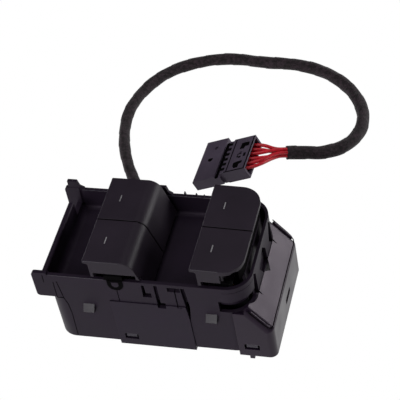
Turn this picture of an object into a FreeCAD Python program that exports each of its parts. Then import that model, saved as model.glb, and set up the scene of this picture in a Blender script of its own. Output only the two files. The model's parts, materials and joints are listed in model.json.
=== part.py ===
import FreeCAD, Part
import Sketcher
import math
import os
from FreeCAD import Placement, Rotation, Vector

# Power window switch with two pairs of keys and a harness lead, in millimetres.
# Frame: +Z up, -Y the front wall, +X the sloped end, origin under the middle of the switch.

DIMENSIONS = {
    # whole switch
    "body_length": 106.9,
    "body_depth": 55.3,
    "rim_height": 45.6,
    "housing_bottom": 4.2,
    "housing_wall": 1.8,
    "plate_proud": 0.4,
    "ramp_proud": 2.55,
    "left_corner_radius": 8.2,
    "tray_corner_radius": 1.5,
    "seat_gap": 0.15,
    # tray with the two finger wells
    "wing_reach": 4.6,
    "wing_flange": 13.4,
    "wing_foot": 31.3,
    "wing_rise": 1.0,
    "wing_thickness": 1.8,
    "wing_corner_radius": 1.6,
    "bar_width": 2.7,
    "bar_round": 1.1,
    "bar_end": 9.2,
    "bar_gap_height": 37.6,
    "well_depth": 11.0,
    "floor_thickness": 1.8,
    "well_cove_radius": 3.5,
    "well_fillet": 2.2,
    # round end of the tray and the sloped shoulder beside it
    "shoulder_width": 8.2,
    "ring_radius": 11.0,
    "ring_wall": 1.3,
    "corner_window": 14.2,
    "corner_window_foot": 30.6,
    "corner_window_head": 37.2,
    "floor_setback": 2.5,
    "seam_drop": 2.5,
    "cap_wall": 1.5,
    "cap_overlap": 16.95,
    "cap_bottom": 2.0,
    "cap_front_top": 30.2,
    "deck_run": 10.15,
    "deck_top": 32.6,
    "deck_foot": 19.6,
    "cap_corner_radius": 3.4,
    "deck_lip_radius": 1.6,
    "clip_notch": 2.0,
    # tongues of the base cover
    "tongue_width": 35.6,
    "tongue_inset": 17.15,
    "tongue_top": 31.8,
    "tongue_bottom": 2.35,
    "tongue_thickness": 1.2,
    "base_bottom": 3.0,
    "base_thickness": 2.4,
    # snap windows, ramps and pegs
    "snap_width": 6.4,
    "right_snap_width": 6.9,
    "snap_height": 3.5,
    "snap_bottom": 6.3,
    "middle_snap": 6.1,
    "right_snap": 10.7,
    "end_snap_length": 8.4,
    "ramp_width": 5.4,
    "ramp_height": 3.6,
    "ramp_bottom": 24.8,
    "left_ramp": 19.15,
    "right_ramp": 18.4,
    "peg_width": 2.1,
    "peg_setback": 8.0,
    "right_peg": 11.45,
    "left_peg": 10.85,
    # keys
    "key_top": 57.1,
    "key_front": 0.5,
    "key_rear": 4.1,
    "key_seam": 1.95,
    "key_seam_gap": 0.5,
    "left_lip": 21.6,
    "right_axle": 11.7,
    "lip_reach": 12.7,
    "lip_thickness": 1.5,
    "skirt_setback": 2.2,
    "key_wall": 1.4,
    "key_roof": 1.6,
    "axis_height": 43.2,
    "skirt_bottom": 37.7,
    "skirt_clearance": 3.0,
    "front_skirt": 7.5,
    "roll_reach": 8.7,
    "roll_foot": 14.7,
    "roll_radius": 6.2,
    "right_reach": 9.8,
    "right_fall": 0.7,
    "right_lip": 2.1,
    "right_setback": 1.3,
    "right_corner_radius": 9.6,
    "marker_length": 3.9,
    "marker_width": 0.5,
    "marker_inset": 7.3,
    "marker_shift": 0.35,
    # pivots, legs and sliders
    "shaft_radius": 1.9,
    "running_gap": 0.05,
    "hub_radius": 3.4,
    "hub_play": 0.25,
    "lug_radius": 3.6,
    "lug_rise": 5.3,
    "lug_thickness": 3.4,
    "notch_gap": 0.45,
    "end_lug": 2.4,
    "seam_lug_gap": 1.6,
    "carrier_width": 9.2,
    "carrier_height": 2.6,
    "leg_length": 13.5,
    "leg_radius": 1.5,
    "leg_thickness": 4.0,
    "leg_neck": 2.2,
    "leg_slot": 6.4,
    "leaf_thickness": 0.3,
    "leaf_width": 3.4,
    "slider_length": 10.0,
    "slider_width": 8.0,
    "slider_height": 4.5,
    "slider_travel": 1.5,
    "slider_gap": 0.15,
    "frame_wall": 1.8,
    "frame_top_gap": 0.3,
    "wiper_thickness": 0.3,
    # circuit board and its parts
    "board_bottom": 21.0,
    "board_thickness": 1.6,
    "board_margin": 4.85,
    "board_setback": 5.15,
    "post_radius": 2.2,
    "pin_radius": 1.0,
    "guide_radius": 1.0,
    "guide_offset": 5.9,
    # harness lead
    "cord_diameter": 5.2,
    "cord_offset": 11.45,
    "cord_height": 10.2,
    "gland_radius": 4.6,
    "gland_nose": 7.0,
    "wire_diameter": 1.6,
    "plug_width": 14.0,
    "plug_depth": 11.0,
    # harness connector
    "connector_depth": 31.4,
    "connector_width": 28.3,
    "connector_height": 7.0,
    "nose_depth": 13.4,
    "channel_depth": 3.2,
    "body_width": 22.9,
    "body_offset": 0.9,
    "body_end": 19.0,
    "connector_tilt": 23.0,
    "connector_turn": -2.8,
    "connector_x": -7.35,
    "connector_y": 73.05,
}

document = FreeCAD.newDocument("WindowSwitch")
sheet = document.addObject("Spreadsheet::Sheet", "Sheet")
sheet.Label = "Dimensions"


class Size:
    """A number together with the formula that the document keeps for it."""

    def __init__(self, value, text):
        self.value = float(value)
        self.text = text

    def __add__(self, other):
        other = as_size(other)
        return Size(self.value + other.value, f"({self.text} + {other.text})")

    def __radd__(self, other):
        return as_size(other) + self

    def __sub__(self, other):
        other = as_size(other)
        return Size(self.value - other.value, f"({self.text} - {other.text})")

    def __rsub__(self, other):
        return as_size(other) - self

    def __mul__(self, other):
        other = as_size(other)
        return Size(self.value * other.value, f"({self.text} * {other.text})")

    def __rmul__(self, other):
        return as_size(other) * self

    def __truediv__(self, other):
        other = as_size(other)
        return Size(self.value / other.value, f"({self.text} / {other.text})")

    def __neg__(self):
        return as_size(0) - self

    def root(self):
        return Size(math.sqrt(self.value), f"sqrt({self.text})")


def as_size(number):
    """Wraps a plain number as a Size."""
    if isinstance(number, Size):
        return number
    return Size(number, f"({float(number)})")


class Dimensions:
    """The sheet's cells by name."""


d = Dimensions()
for row, (alias, value) in enumerate(DIMENSIONS.items(), start=1):
    sheet.set(f"A{row}", alias)
    sheet.set(f"B{row}", str(value))
    sheet.setAlias(f"B{row}", alias)
    setattr(d, alias, Size(value, f"Sheet.{alias}"))
document.recompute()

nodes = {}


def bind(thing, prop, size):
    """Sets a property now and ties it to the sheet."""
    thing.setExpression(prop, as_size(size).text)


def place(thing, x=0, y=0, z=0, rotation=None):
    """Puts an object at a point whose coordinates stay tied to the sheet."""
    corner = Vector(as_size(x).value, as_size(y).value, as_size(z).value)
    thing.Placement = Placement(corner, rotation or Rotation())
    for axis, size in (("x", x), ("y", y), ("z", z)):
        bind(thing, f"Placement.Base.{axis}", size)


def keep(name, thing):
    """Registers a finished piece under the name of its node."""
    thing.Label = name
    nodes[name] = thing
    return thing


class Solid:
    """A PartDesign body that is built by pads and pockets of bound outlines."""

    ROLES = {"XY": "XY_Plane", "XZ": "XZ_Plane", "YZ": "YZ_Plane"}

    def __init__(self, name):
        self.name = name
        self.body = document.addObject("PartDesign::Body", name)
        self.count = 0

    def outline(self, plane, start, corners):
        """Draws a closed outline. A corner is (a, b) or (a, b, radius, turn) for an arc that ends there."""
        self.count += 1
        sketch = self.body.newObject("Sketcher::SketchObject", f"{self.name}_outline{self.count}")
        features = self.body.Origin.OriginFeatures
        origin_plane = next(f for f in features if f.Role == self.ROLES[plane])
        sketch.AttachmentSupport = (origin_plane, [""])
        sketch.MapMode = "FlatFace"
        offset = -as_size(start) if plane == "XZ" else as_size(start)
        sketch.AttachmentOffset = Placement(Vector(0, 0, offset.value), Rotation())
        bind(sketch, "AttachmentOffset.Base.z", offset)
        if len(corners) == 1:
            self.circle(sketch, *corners[0])
        else:
            self.loop(sketch, corners)
        return sketch

    def circle(self, sketch, a, b, radius):
        """Adds one bound circle."""
        a, b, radius = as_size(a), as_size(b), as_size(radius)
        ring = Part.Circle(Vector(a.value, b.value, 0), Vector(0, 0, 1), radius.value)
        sketch.addGeometry(ring, False)
        self.constrain(sketch, "DistanceX", (-1, 1, 0, 3), a)
        self.constrain(sketch, "DistanceY", (-1, 1, 0, 3), b)
        self.constrain(sketch, "Radius", (0,), radius)

    def loop(self, sketch, corners):
        """Adds lines and arcs from corner to corner, each corner held by its two coordinates."""
        points = [Vector(as_size(c[0]).value, as_size(c[1]).value, 0) for c in corners]
        ends = []
        for index, corner in enumerate(corners):
            before, here = points[index - 1], points[index]
            if len(corner) == 2:
                sketch.addGeometry(Part.LineSegment(before, here), False)
                ends.append((1, 2))
            else:
                arc, reverse = arc_between(before, here, as_size(corner[2]).value, corner[3])
                sketch.addGeometry(arc, False)
                ends.append((2, 1) if reverse else (1, 2))
        total = len(corners)
        for index, corner in enumerate(corners):
            follower = (index + 1) % total
            join = Sketcher.Constraint("Coincident", index, ends[index][1], follower, ends[follower][0])
            sketch.addConstraint(join)
            self.constrain(sketch, "DistanceX", (-1, 1, index, ends[index][1]), corner[0])
            self.constrain(sketch, "DistanceY", (-1, 1, index, ends[index][1]), corner[1])
            if len(corner) > 2:
                self.constrain(sketch, "Radius", (index,), corner[2])

    def constrain(self, sketch, kind, where, size):
        """Adds one dimension and ties it to the sheet."""
        size = as_size(size)
        number = sketch.addConstraint(Sketcher.Constraint(kind, *where, size.value))
        sketch.renameConstraint(number, f"size{number}")
        bind(sketch, f"Constraints.size{number}", size)

    def extrude(self, kind, plane, start, end, corners, reverse):
        sketch = self.outline(plane, start, corners)
        feature = self.body.newObject(kind, f"{self.name}_step{self.count}")
        feature.Profile = sketch
        length = as_size(end) - as_size(start)
        feature.Length = length.value
        bind(feature, "Length", length)
        feature.Reversed = reverse
        return feature

    def pad(self, plane, start, end, corners):
        """Adds material between two levels along the plane's world axis."""
        return self.extrude("PartDesign::Pad", plane, start, end, corners, plane == "XZ")

    def pocket(self, plane, start, end, corners):
        """Removes material between two levels along the plane's world axis."""
        return self.extrude("PartDesign::Pocket", plane, start, end, corners, plane != "XZ")

    def fillet(self, axis, spots, radius, kind="PartDesign::Fillet"):
        """Rounds the straight edges along an axis that pass through the given spots."""
        document.recompute()
        base = self.body.Tip
        names = edges_along(base.Shape, axis, spots)
        feature = self.body.newObject(kind, f"{self.name}_round{self.count}")
        self.count += 1
        feature.Base = (base, names)
        prop = "Radius" if kind == "PartDesign::Fillet" else "Size"
        setattr(feature, prop, as_size(radius).value)
        bind(feature, prop, radius)
        return feature

    def done(self, x=0, y=0, z=0, name=None):
        """Places the body and registers it."""
        place(self.body, x, y, z)
        return keep(name or self.name, self.body)


def arc_between(start, end, radius, turn):
    """Gives the short arc from start to end, turning left or right, and whether it is stored reversed."""
    chord = end - start
    middle = (start + end) * 0.5
    height = math.sqrt(max(radius ** 2 - (chord.Length / 2) ** 2, 0.0))
    side = Vector(-chord.y, chord.x, 0).normalize()
    centre = middle + side * (height if turn == "left" else -height)
    first, last = (start, end) if turn == "left" else (end, start)
    angles = [math.atan2(p.y - centre.y, p.x - centre.x) for p in (first, last)]
    if angles[1] < angles[0]:
        angles[1] += 2 * math.pi
    circle = Part.Circle(centre, Vector(0, 0, 1), radius)
    return Part.ArcOfCircle(circle, *angles), turn != "left"


def edges_along(shape, axis, spots):
    """Names the straight edges parallel to an axis whose other two coordinates match a spot."""
    others = [n for n in "xyz" if n != axis]
    names = []
    for number, edge in enumerate(shape.Edges, start=1):
        first, last = edge.Vertexes[0].Point, edge.Vertexes[-1].Point
        if abs(getattr(last, axis) - getattr(first, axis)) < 0.05:
            continue
        for spot in spots:
            aims = [as_size(value).value for value in spot]
            if all(abs(getattr(p, n) - aim) < 0.02 for p in (first, last) for n, aim in zip(others, aims)):
                names.append(f"Edge{number}")
    return names


def box(name, x0, x1, y0, y1, z0, z1):
    """A bound Part box between two corners."""
    solid = document.addObject("Part::Box", name)
    for prop, low, high in (("Length", x0, x1), ("Width", y0, y1), ("Height", z0, z1)):
        bind(solid, prop, as_size(high) - as_size(low))
    place(solid, x0, y0, z0)
    return solid


def rod(name, radius, length, x, y, z, axis="z"):
    """A bound Part cylinder that starts at a point and runs along an axis."""
    solid = document.addObject("Part::Cylinder", name)
    bind(solid, "Radius", radius)
    bind(solid, "Height", length)
    turns = {"z": Rotation(), "y": Rotation(Vector(1, 0, 0), -90), "x": Rotation(Vector(0, 1, 0), 90)}
    place(solid, x, y, z, turns[axis])
    return solid


def fuse(name, *pieces):
    """Joins solids into one."""
    solid = document.addObject("Part::MultiFuse", name)
    solid.Shapes = list(pieces)
    return solid


def cut(name, base, *tools):
    """Takes tools out of a solid."""
    solid = document.addObject("Part::Cut", name)
    solid.Base = base
    solid.Tool = tools[0] if len(tools) == 1 else fuse(f"{name}_tools", *tools)
    return solid


def group(name, *pieces):
    """Keeps identical separate pieces together as one node."""
    solid = document.addObject("Part::Compound", name)
    solid.Links = list(pieces)
    return keep(name, solid)


def rectangle(a0, b0, a1, b1):
    """Corners of an upright rectangle."""
    return [(a0, b0), (a1, b0), (a1, b1), (a0, b1)]


# Places that several pieces share.
half_depth = d.body_depth / 2
wing_tip = -d.body_length / 2
end_face = d.body_length / 2
housing_left = wing_tip + d.wing_reach
ring_face = end_face - d.shoulder_width
face = half_depth - d.plate_proud
inner_face = face - d.housing_wall
floor_top = d.rim_height - d.well_depth
floor_bottom = floor_top - d.floor_thickness
front_line = -half_depth
left_axis = housing_left + d.left_lip + d.lip_reach
right_axis = ring_face - d.right_axle
key_front = front_line + d.key_front
key_rear = half_depth - d.key_rear
seam = -d.key_seam
deck_start = end_face - d.deck_run
cap_seam = end_face - d.cap_overlap
tongue_right = right_axis - d.tongue_inset
tongue_left = tongue_right - d.tongue_width
cord_x = left_axis - d.cord_offset
board_left = housing_left + d.board_margin
board_right = ring_face - d.board_margin
board_half = half_depth - d.board_setback
middle_snap = tongue_left + d.middle_snap
right_snap = end_face - d.right_snap
board_top = d.board_bottom + d.board_thickness
carrier_top = floor_top + d.carrier_height
front_hub = (-inner_face + 1.3 + d.end_lug + d.hub_play, seam - d.seam_lug_gap - d.lug_thickness - d.hub_play)
rear_hub = (seam + d.seam_lug_gap + d.lug_thickness + d.hub_play, key_rear - d.key_wall - d.lug_thickness - 0.8)
front_leg = (front_hub[0] + front_hub[1]) / 2
rear_leg = (rear_hub[0] + rear_hub[1]) / 2
slot_half = d.leg_slot / 2
leg_rows = (front_leg, rear_leg)
axes = (left_axis, right_axis)


def rounded_plan(left, right, depth, left_radius, right_radius):
    """Plan outline with its own radius at each end, drawn anticlockwise."""
    return [
        (left + left_radius, -depth),
        (right - right_radius, -depth),
        (right, -depth + right_radius, right_radius, "left"),
        (right, depth - right_radius),
        (right - right_radius, depth, right_radius, "left"),
        (left + left_radius, depth),
        (left, depth - left_radius, left_radius, "left"),
        (left, -depth + left_radius),
        (left + left_radius, -depth, left_radius, "left"),
    ][1:]


def build_housing():
    """Main moulding: outer walls, tray with two finger wells, pivot notch, wings and snaps."""
    s = Solid("switch_housing")
    bar_right = housing_left + d.bar_width
    plan = rounded_plan(housing_left, ring_face, face, d.left_corner_radius, d.ring_radius)
    s.pad("XY", d.housing_bottom, d.rim_height, plan)
    # mounting wings that carry on the front and rear walls past the left wall
    wing_top = d.rim_height + d.wing_rise
    wing_inner = wing_tip + d.wing_flange
    r = d.wing_corner_radius
    for low, high in ((-face, -face + d.wing_thickness), (face - d.wing_thickness, face)):
        s.pad("XZ", low, high,
              [(wing_inner, d.wing_foot), (wing_inner, d.rim_height), (bar_right, d.rim_height),
               (bar_right, wing_top), (wing_tip + r, wing_top), (wing_tip, wing_top - r, r, "left"),
               (wing_tip, d.wing_foot + r), (wing_tip + r, d.wing_foot, r, "left")])
    # raised bar along the left wall, round on top
    r = d.bar_round
    s.pad("XZ", -face, inner_face - d.bar_end,
          [(housing_left, d.rim_height - 1), (bar_right, d.rim_height - 1), (bar_right, wing_top - r),
           (bar_right - r, wing_top, r, "left"), (housing_left + r, wing_top), (housing_left, wing_top - r, r, "left")])
    # the tray's upper left corners stand out over the round ones below
    s.pad("XY", d.wing_foot, d.rim_height,
          rounded_plan(housing_left, housing_left + d.left_corner_radius + 2, face, d.tray_corner_radius,
                       d.tray_corner_radius))
    # the tray, open above its floor
    well = rounded_plan(bar_right, ring_face - d.ring_wall, inner_face, as_size(1.2),
                        d.ring_radius - d.ring_wall)
    s.pocket("XY", floor_top, d.rim_height + 3, well)
    # lower cavity for the board and the sliders
    cavity = rounded_plan(housing_left + d.housing_wall, ring_face - d.housing_wall, inner_face,
                          d.left_corner_radius - d.housing_wall, d.ring_radius - d.housing_wall)
    s.pocket("XY", d.housing_bottom, floor_bottom, cavity)
    # gap behind the bar
    s.pocket("XY", d.bar_gap_height, wing_top + 1,
             rectangle(housing_left - 0.5, inner_face - d.bar_end, bar_right + 0.1, inner_face))
    # coves of the wells along the bar and the rear wall
    cove = d.well_cove_radius
    s.pad("XZ", -inner_face - 0.5, inner_face + 0.5,
          [(bar_right - 0.5, floor_top - 0.5), (bar_right + cove, floor_top - 0.5), (bar_right + cove, floor_top),
           (bar_right, floor_top + cove, cove, "right"), (bar_right - 0.5, floor_top + cove)])
    cove = d.well_fillet
    s.pad("YZ", bar_right - 0.5, ring_face - d.ring_radius,
          [(inner_face + 0.5, floor_top - 0.5), (inner_face + 0.5, floor_top + cove), (inner_face, floor_top + cove),
           (inner_face - cove, floor_top, cove, "right"), (inner_face - cove, floor_top - 0.5)])
    # notch of the left pivot in the front wall, round at its foot
    notch = d.lug_radius + d.notch_gap
    s.pocket("XZ", -face - 1, inner_face * -1 + 0.5,
             [(left_axis + notch, d.rim_height + 1),
              (left_axis - notch, d.rim_height + 1), (left_axis - notch, d.axis_height),
              (left_axis, d.axis_height - notch, notch, "left"),
              (left_axis + notch, d.axis_height, notch, "left")])
    # slots for the legs of the keys
    for axis in axes:
        for row in leg_rows:
            s.pocket("XY", floor_bottom - 1, floor_top + 1,
                     rectangle(axis - slot_half, row - 2.6, axis + slot_half, row + 2.6))
            s.pocket("XY", floor_bottom - 1, floor_top + 1, [(axis + d.guide_offset, light_row(row), d.guide_radius)])
    # recesses that take the tongues and the end cap flush, front and rear
    recess = d.tongue_thickness - d.plate_proud + 0.1
    for low, high in ((-face - 1, -face + recess), (face - recess, face + 1)):
        s.pocket("XZ", low, high, rectangle(tongue_left - d.seat_gap, d.housing_bottom - 1,
                                            tongue_right + d.seat_gap, d.tongue_top + d.seat_gap))
        s.pocket("XZ", low, high, rectangle(cap_seam - d.seat_gap, d.housing_bottom - 1,
                                            ring_face, d.cap_front_top + d.seat_gap))
    # locating slots through the front wall
    slot_depth = (-face - 1, -inner_face + 0.2)
    for outline in SLOT_OUTLINES:
        s.pocket("XZ", *slot_depth, [(tongue_right + x, d.rim_height - z) for x, z in outline])
    s.pocket("XZ", -face - 1, -face + 1.3,
             rectangle(left_axis - 0.2, d.tongue_top, left_axis + 0.2, d.axis_height - notch))
    # window under the round end of the tray, carried round the corner, with the floor's edge set back
    start = ring_face - d.corner_window
    s.pocket("XY", d.corner_window_foot, d.corner_window_head, corner_band(start, d.floor_setback))
    # seam line round the tray's end below the rim
    s.pocket("XY", d.rim_height - d.seam_drop - 0.2, d.rim_height - d.seam_drop, corner_band(start + 2, as_size(0.3)))
    # slots for trim clips in the wall of the round end, which run out at the deck
    for outline in CLIP_SLOTS:
        s.pocket("YZ", ring_face - d.ring_wall - 0.3, ring_face + 1, outline)
    # gland hole in the rear wall
    s.pocket("XZ", inner_face - 1, face + 1, [(cord_x, d.cord_height, d.gland_radius)])
    # snap ramps on the front and rear walls, each with its foot standing out
    for place_x in (housing_left + d.left_ramp, ring_face - d.right_ramp):
        half = d.ramp_width / 2
        low, high = d.ramp_bottom, d.ramp_bottom + d.ramp_height
        for side in (-1, 1):
            s.pad("YZ", place_x - half, place_x + half,
                  [(side * (face - 0.5), low), (side * (face + d.ramp_proud), low),
                   (side * (face + d.ramp_proud), low + 0.4), (side * face, high), (side * (face - 0.5), high)][::side])
    # tabs that click into the windows of the cover and the cap, where the end's is a bar off the round wall
    for middle, width, root in ((middle_snap, d.snap_width, inner_face), (right_snap, d.right_snap_width, face - 4.6)):
        half = width / 2 - 1.0
        for low, high in ((-face + recess - 0.8, -root), (root, face - recess + 0.8)):
            s.pad("XZ", low, high, rectangle(middle - half, d.snap_bottom + d.snap_height / 2, middle + half,
                                             d.snap_bottom + d.snap_height - 0.1))
    # hooks on top of the rear wall for the trim panel
    for low, high, reach in ((wing_tip + 2.05, wing_tip + 6.55, 3.0),
                             (tongue_right - 23.3, tongue_right - 20.2, 2.6)):
        s.pad("XZ", inner_face + 0.2, face, [(low, d.rim_height - 1), (high + reach, d.rim_height - 1),
                                             (high + reach, d.rim_height + 0.6), (high + 0.9, d.rim_height + 1.8),
                                             (high, d.rim_height + 5), (low, d.rim_height + 5)])
    for middle, rise in ((tongue_right - 11.7, 2.2), (tongue_right - 6.4, 1.5), (tongue_right - 2.8, 0.9)):
        s.pad("XZ", inner_face + 0.5, face - 0.3, [(middle - 0.7, d.rim_height - 0.5), (middle + 0.7, d.rim_height - 0.5),
                                                   (middle + 0.2, d.rim_height + rise), (middle - 0.2, d.rim_height + rise)])
    return s.done()


# Locating slots in the front wall: distance past the tongue's right end, and depth below the rim.
SLOT_OUTLINES = [
    [(-19.3, 9.4), (-15.3, 9.4), (-15.3, 6.6), (-17.7, 6.6), (-17.9, 1.7), (-19.1, 1.7)],
    [(-13.5, 15.7), (-9.7, 15.7), (-9.7, 12.5), (-11.9, 12.5), (-11.9, 1.3), (-13.5, 1.3)],
    [(-7.5, 4.4), (-4.5, 4.4), (-4.5, 14.6), (-2.5, 14.6), (-2.5, 14.1), (-4.0, 14.1), (-4.0, 4.4), (-1.7, 4.4),
     (-1.7, 1.7), (-7.5, 1.7)],
    [(-0.1, 21.0), (0.2, 23.4), (1.3, 13.6), (0.3, 1.6), (-1.5, 1.8)],
]

# Clip slots in the round end's wall, seen from the deck's side: place along Y, and height.
CLIP_SLOTS = [
    [(12.3, 34.2), (17.0, 29.0), (17.7, 29.0), (17.6, 41.2), (15.0, 44.0)],
    [(-7.0, 37.4), (-1.7, 29.0), (6.6, 29.0), (5.6, 37.5), (1.4, 42.2)],
    [(-18.2, 34.6), (-13.6, 29.0), (-12.9, 29.0), (-13.2, 41.6), (-16.1, 44.6)],
]


def corner_band(start, depth):
    """Plan outline along the front wall and round the tray's front right corner, of a given depth."""
    centre_x = ring_face - d.ring_radius
    centre_y = -face + d.ring_radius
    return [(start, -face - 1), (ring_face + 1, -face - 1), (ring_face + 1, centre_y), (ring_face - depth, centre_y),
            (centre_x, -face + depth, d.ring_radius - depth, "right"), (start, -face + depth)]


def light_row(row):
    """Row of the light guide that stands between a key's leg and the seam."""
    return row + 6.4 if row is front_leg else row - 6.4


def build_end_cap():
    """Sloped shoulder with the end wall, pushed over the housing's end."""
    s = Solid("end_cap")
    front = half_depth
    slope = [(cap_seam, d.cap_bottom), (end_face, d.cap_bottom), (end_face, d.deck_foot),
             (deck_start, d.deck_top), (deck_start - 1.6, d.deck_top), (deck_start - 1.6, d.cap_front_top),
             (cap_seam, d.cap_front_top)]
    s.pad("XZ", -front, front, slope)
    s.fillet("y", [(end_face, d.deck_foot)], d.deck_lip_radius)
    s.fillet("z", [(end_face, -front), (end_face, front)], d.cap_corner_radius)
    # hollow, open below and towards the housing
    run = end_face - deck_start
    fall = d.deck_top - d.deck_foot
    lean = (run * run + fall * fall).root() / run * d.cap_wall
    inner = [(cap_seam - 1, d.cap_bottom - 1), (end_face - d.cap_wall, d.cap_bottom - 1),
             (end_face - d.cap_wall, d.deck_foot - lean + fall / run * d.cap_wall),
             (deck_start, d.deck_top - lean), (cap_seam - 1, d.deck_top - lean)]
    s.pocket("XZ", -front + d.tongue_thickness, front - d.tongue_thickness, inner)
    # opening that follows the round end of the tray
    radius = d.ring_radius + d.seat_gap
    centre_x = ring_face - d.ring_radius
    centre_y = face - d.ring_radius
    limit = front - d.tongue_thickness
    reach = centre_x + (radius * radius - (limit - centre_y) * (limit - centre_y)).root()
    s.pocket("XY", d.cap_bottom - 1, d.deck_top + 1,
             [(reach, -limit), (ring_face + d.seat_gap, -centre_y, radius, "left"),
              (ring_face + d.seat_gap, centre_y), (reach, limit, radius, "left"),
              (cap_seam - 1, limit), (cap_seam - 1, -limit)])
    # snap windows in the front, rear and end walls
    half = d.right_snap_width / 2
    middle = right_snap
    for low, high in ((-front - 1, -front + 2), (front - 2, front + 1)):
        s.pocket("XZ", low, high, rectangle(middle - half, d.snap_bottom, middle + half,
                                            d.snap_bottom + d.snap_height))
    s.pocket("YZ", end_face - 2, end_face + 1,
             rectangle(1.9 - d.end_snap_length / 2, 8.6, 1.9 + d.end_snap_length / 2, 11.6))
    # the deck's edge runs back beside the trim clips
    for corner, tip, end in ((17.0, 17.2, 17.9), (-1.7, 1.3, 6.6), (-13.8, -13.4, -12.9)):
        s.pocket("XY", d.deck_foot, d.deck_top + 1,
                 [(ring_face - 0.2, as_size(corner)), (ring_face + d.clip_notch, as_size(tip)),
                  (ring_face - 0.2, as_size(end))])
    # standing pegs at the two corners
    peg = end_face - d.right_peg
    for low, high in ((-front + 0.1, -front + 2.1), (front - 2.1, front - 0.1)):
        s.pad("XY", 0, d.cap_bottom + 1.0, rectangle(peg - d.peg_width / 2, low, peg + d.peg_width / 2, high))
    s.fillet("y", [(deck_start, d.deck_top)], 0.7)
    return s.done()


def build_base_cover():
    """Floor of the switch with its two tongues, board posts and rear pegs."""
    s = Solid("base_cover")
    gap = d.housing_wall + d.seat_gap
    plan = rounded_plan(housing_left + gap, ring_face - gap, face - gap,
                        d.left_corner_radius - gap, d.ring_radius - gap)
    top = d.base_bottom + d.base_thickness
    s.pad("XY", d.base_bottom, top, plan)
    for side in (-1, 1):
        outer, inner = side * half_depth, side * (half_depth - d.tongue_thickness)
        low, high = (outer, inner) if side < 0 else (inner, outer)
        s.pad("XZ", low, high, rectangle(tongue_left, d.tongue_bottom, tongue_right, d.tongue_top))
        strip = (outer, side * (face - gap - 3)) if side < 0 else (side * (face - gap - 3), outer)
        s.pad("XZ", *strip, rectangle(tongue_left, d.tongue_bottom, tongue_right, d.housing_bottom))
        half = d.snap_width / 2
        s.pocket("XZ", *((outer - 1, inner + 0.2) if side < 0 else (inner - 0.2, outer + 1)),
                 rectangle(middle_snap - half, d.snap_bottom, middle_snap + half,
                           d.snap_bottom + d.snap_height))
        if side < 0:
            for outline in SLOT_OUTLINES[1:]:
                s.pocket("XZ", outer - 1, inner + 0.2, [(tongue_right + x, d.rim_height - z) for x, z in outline])
        peg = side * (half_depth - d.peg_setback)
        peg_x = housing_left + d.left_peg
        s.pad("XY", 0, d.base_bottom + 1, rectangle(peg_x - 1.2, peg - 1.2, peg_x + 1.2, peg + 1.2))
    s.pocket("XY", d.base_bottom + 1, top + 1, rectangle(cord_x - d.gland_radius - 1.6, inner_face - 2.2,
                                                         cord_x + d.gland_radius + 1.6, half_depth - 2.0))
    for x, y in post_places():
        s.pad("XY", top - 1, d.board_bottom, [(x, y, d.post_radius)])
        s.pad("XY", d.board_bottom - 1, board_top + 0.8, [(x, y, d.pin_radius)])
    return s.done()


def post_places():
    """Where the board sits on the posts of the base cover."""
    wide = board_half - 3.0
    return [(x, y) for x in (board_left + 5, tongue_right - 2.4) for y in (-wide, wide)]


def build_carrier(name, axis, front_open):
    """Bar on the tray floor with four lugs that hold a pair's shaft."""
    s = Solid(name)
    half = d.carrier_width / 2
    bar_front = -face if front_open else -inner_face + 1.3
    s.pad("XY", floor_top, carrier_top, rectangle(axis - half, -inner_face + 1.3, axis + half, rear_hub[1] + d.hub_play
                                                  + d.lug_thickness))
    lugs = ((bar_front, front_hub[0] - d.hub_play),
            (front_hub[1] + d.hub_play, front_hub[1] + d.hub_play + d.lug_thickness),
            (rear_hub[0] - d.hub_play - d.lug_thickness, rear_hub[0] - d.hub_play),
            (rear_hub[1] + d.hub_play, rear_hub[1] + d.hub_play + d.lug_thickness))
    r = d.lug_radius
    for number, (low, high) in enumerate(lugs):
        if front_open and number == 0:
            # the visible lug stands in the round notch of the front wall
            s.pad("XZ", low, high, [(axis + r, d.axis_height + d.lug_rise),
                                    (axis - r, d.axis_height + d.lug_rise), (axis - r, d.axis_height),
                                    (axis, d.axis_height - r, r, "left"), (axis + r, d.axis_height, r, "left")])
            s.pad("XZ", -inner_face + 1.3, high, rectangle(axis - r, floor_top, axis + r, d.axis_height))
        else:
            s.pad("XZ", low, high, [(axis + r, floor_top), (axis + r, d.axis_height),
                                    (axis, d.axis_height + r, r, "left"), (axis - r, d.axis_height, r, "left"),
                                    (axis - r, floor_top)])
    s.pocket("XZ", -half_depth - 1, half_depth, [(axis, d.axis_height, d.shaft_radius + d.running_gap)])
    for row in leg_rows:
        s.pocket("XY", floor_top - 1, carrier_top + 1, rectangle(axis - slot_half, row - 2.6, axis + slot_half,
                                                                row + 2.6))
    return s.done()


def build_shaft(name, axis, front_open):
    """Steel pivot pin of a pair of keys."""
    start = -face + 0.6 if front_open else -inner_face + 1.3
    end = rear_hub[1] + d.hub_play + d.lug_thickness
    return keep(name, rod(name, d.shaft_radius, end - start, axis, start, d.axis_height, "y"))


def key_frame(front):
    """Length and places of a key along its pair, from its own front end."""
    start = key_front if front else seam + d.key_seam_gap / 2
    end = seam - d.key_seam_gap / 2 if front else key_rear
    return start, end - start


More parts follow.
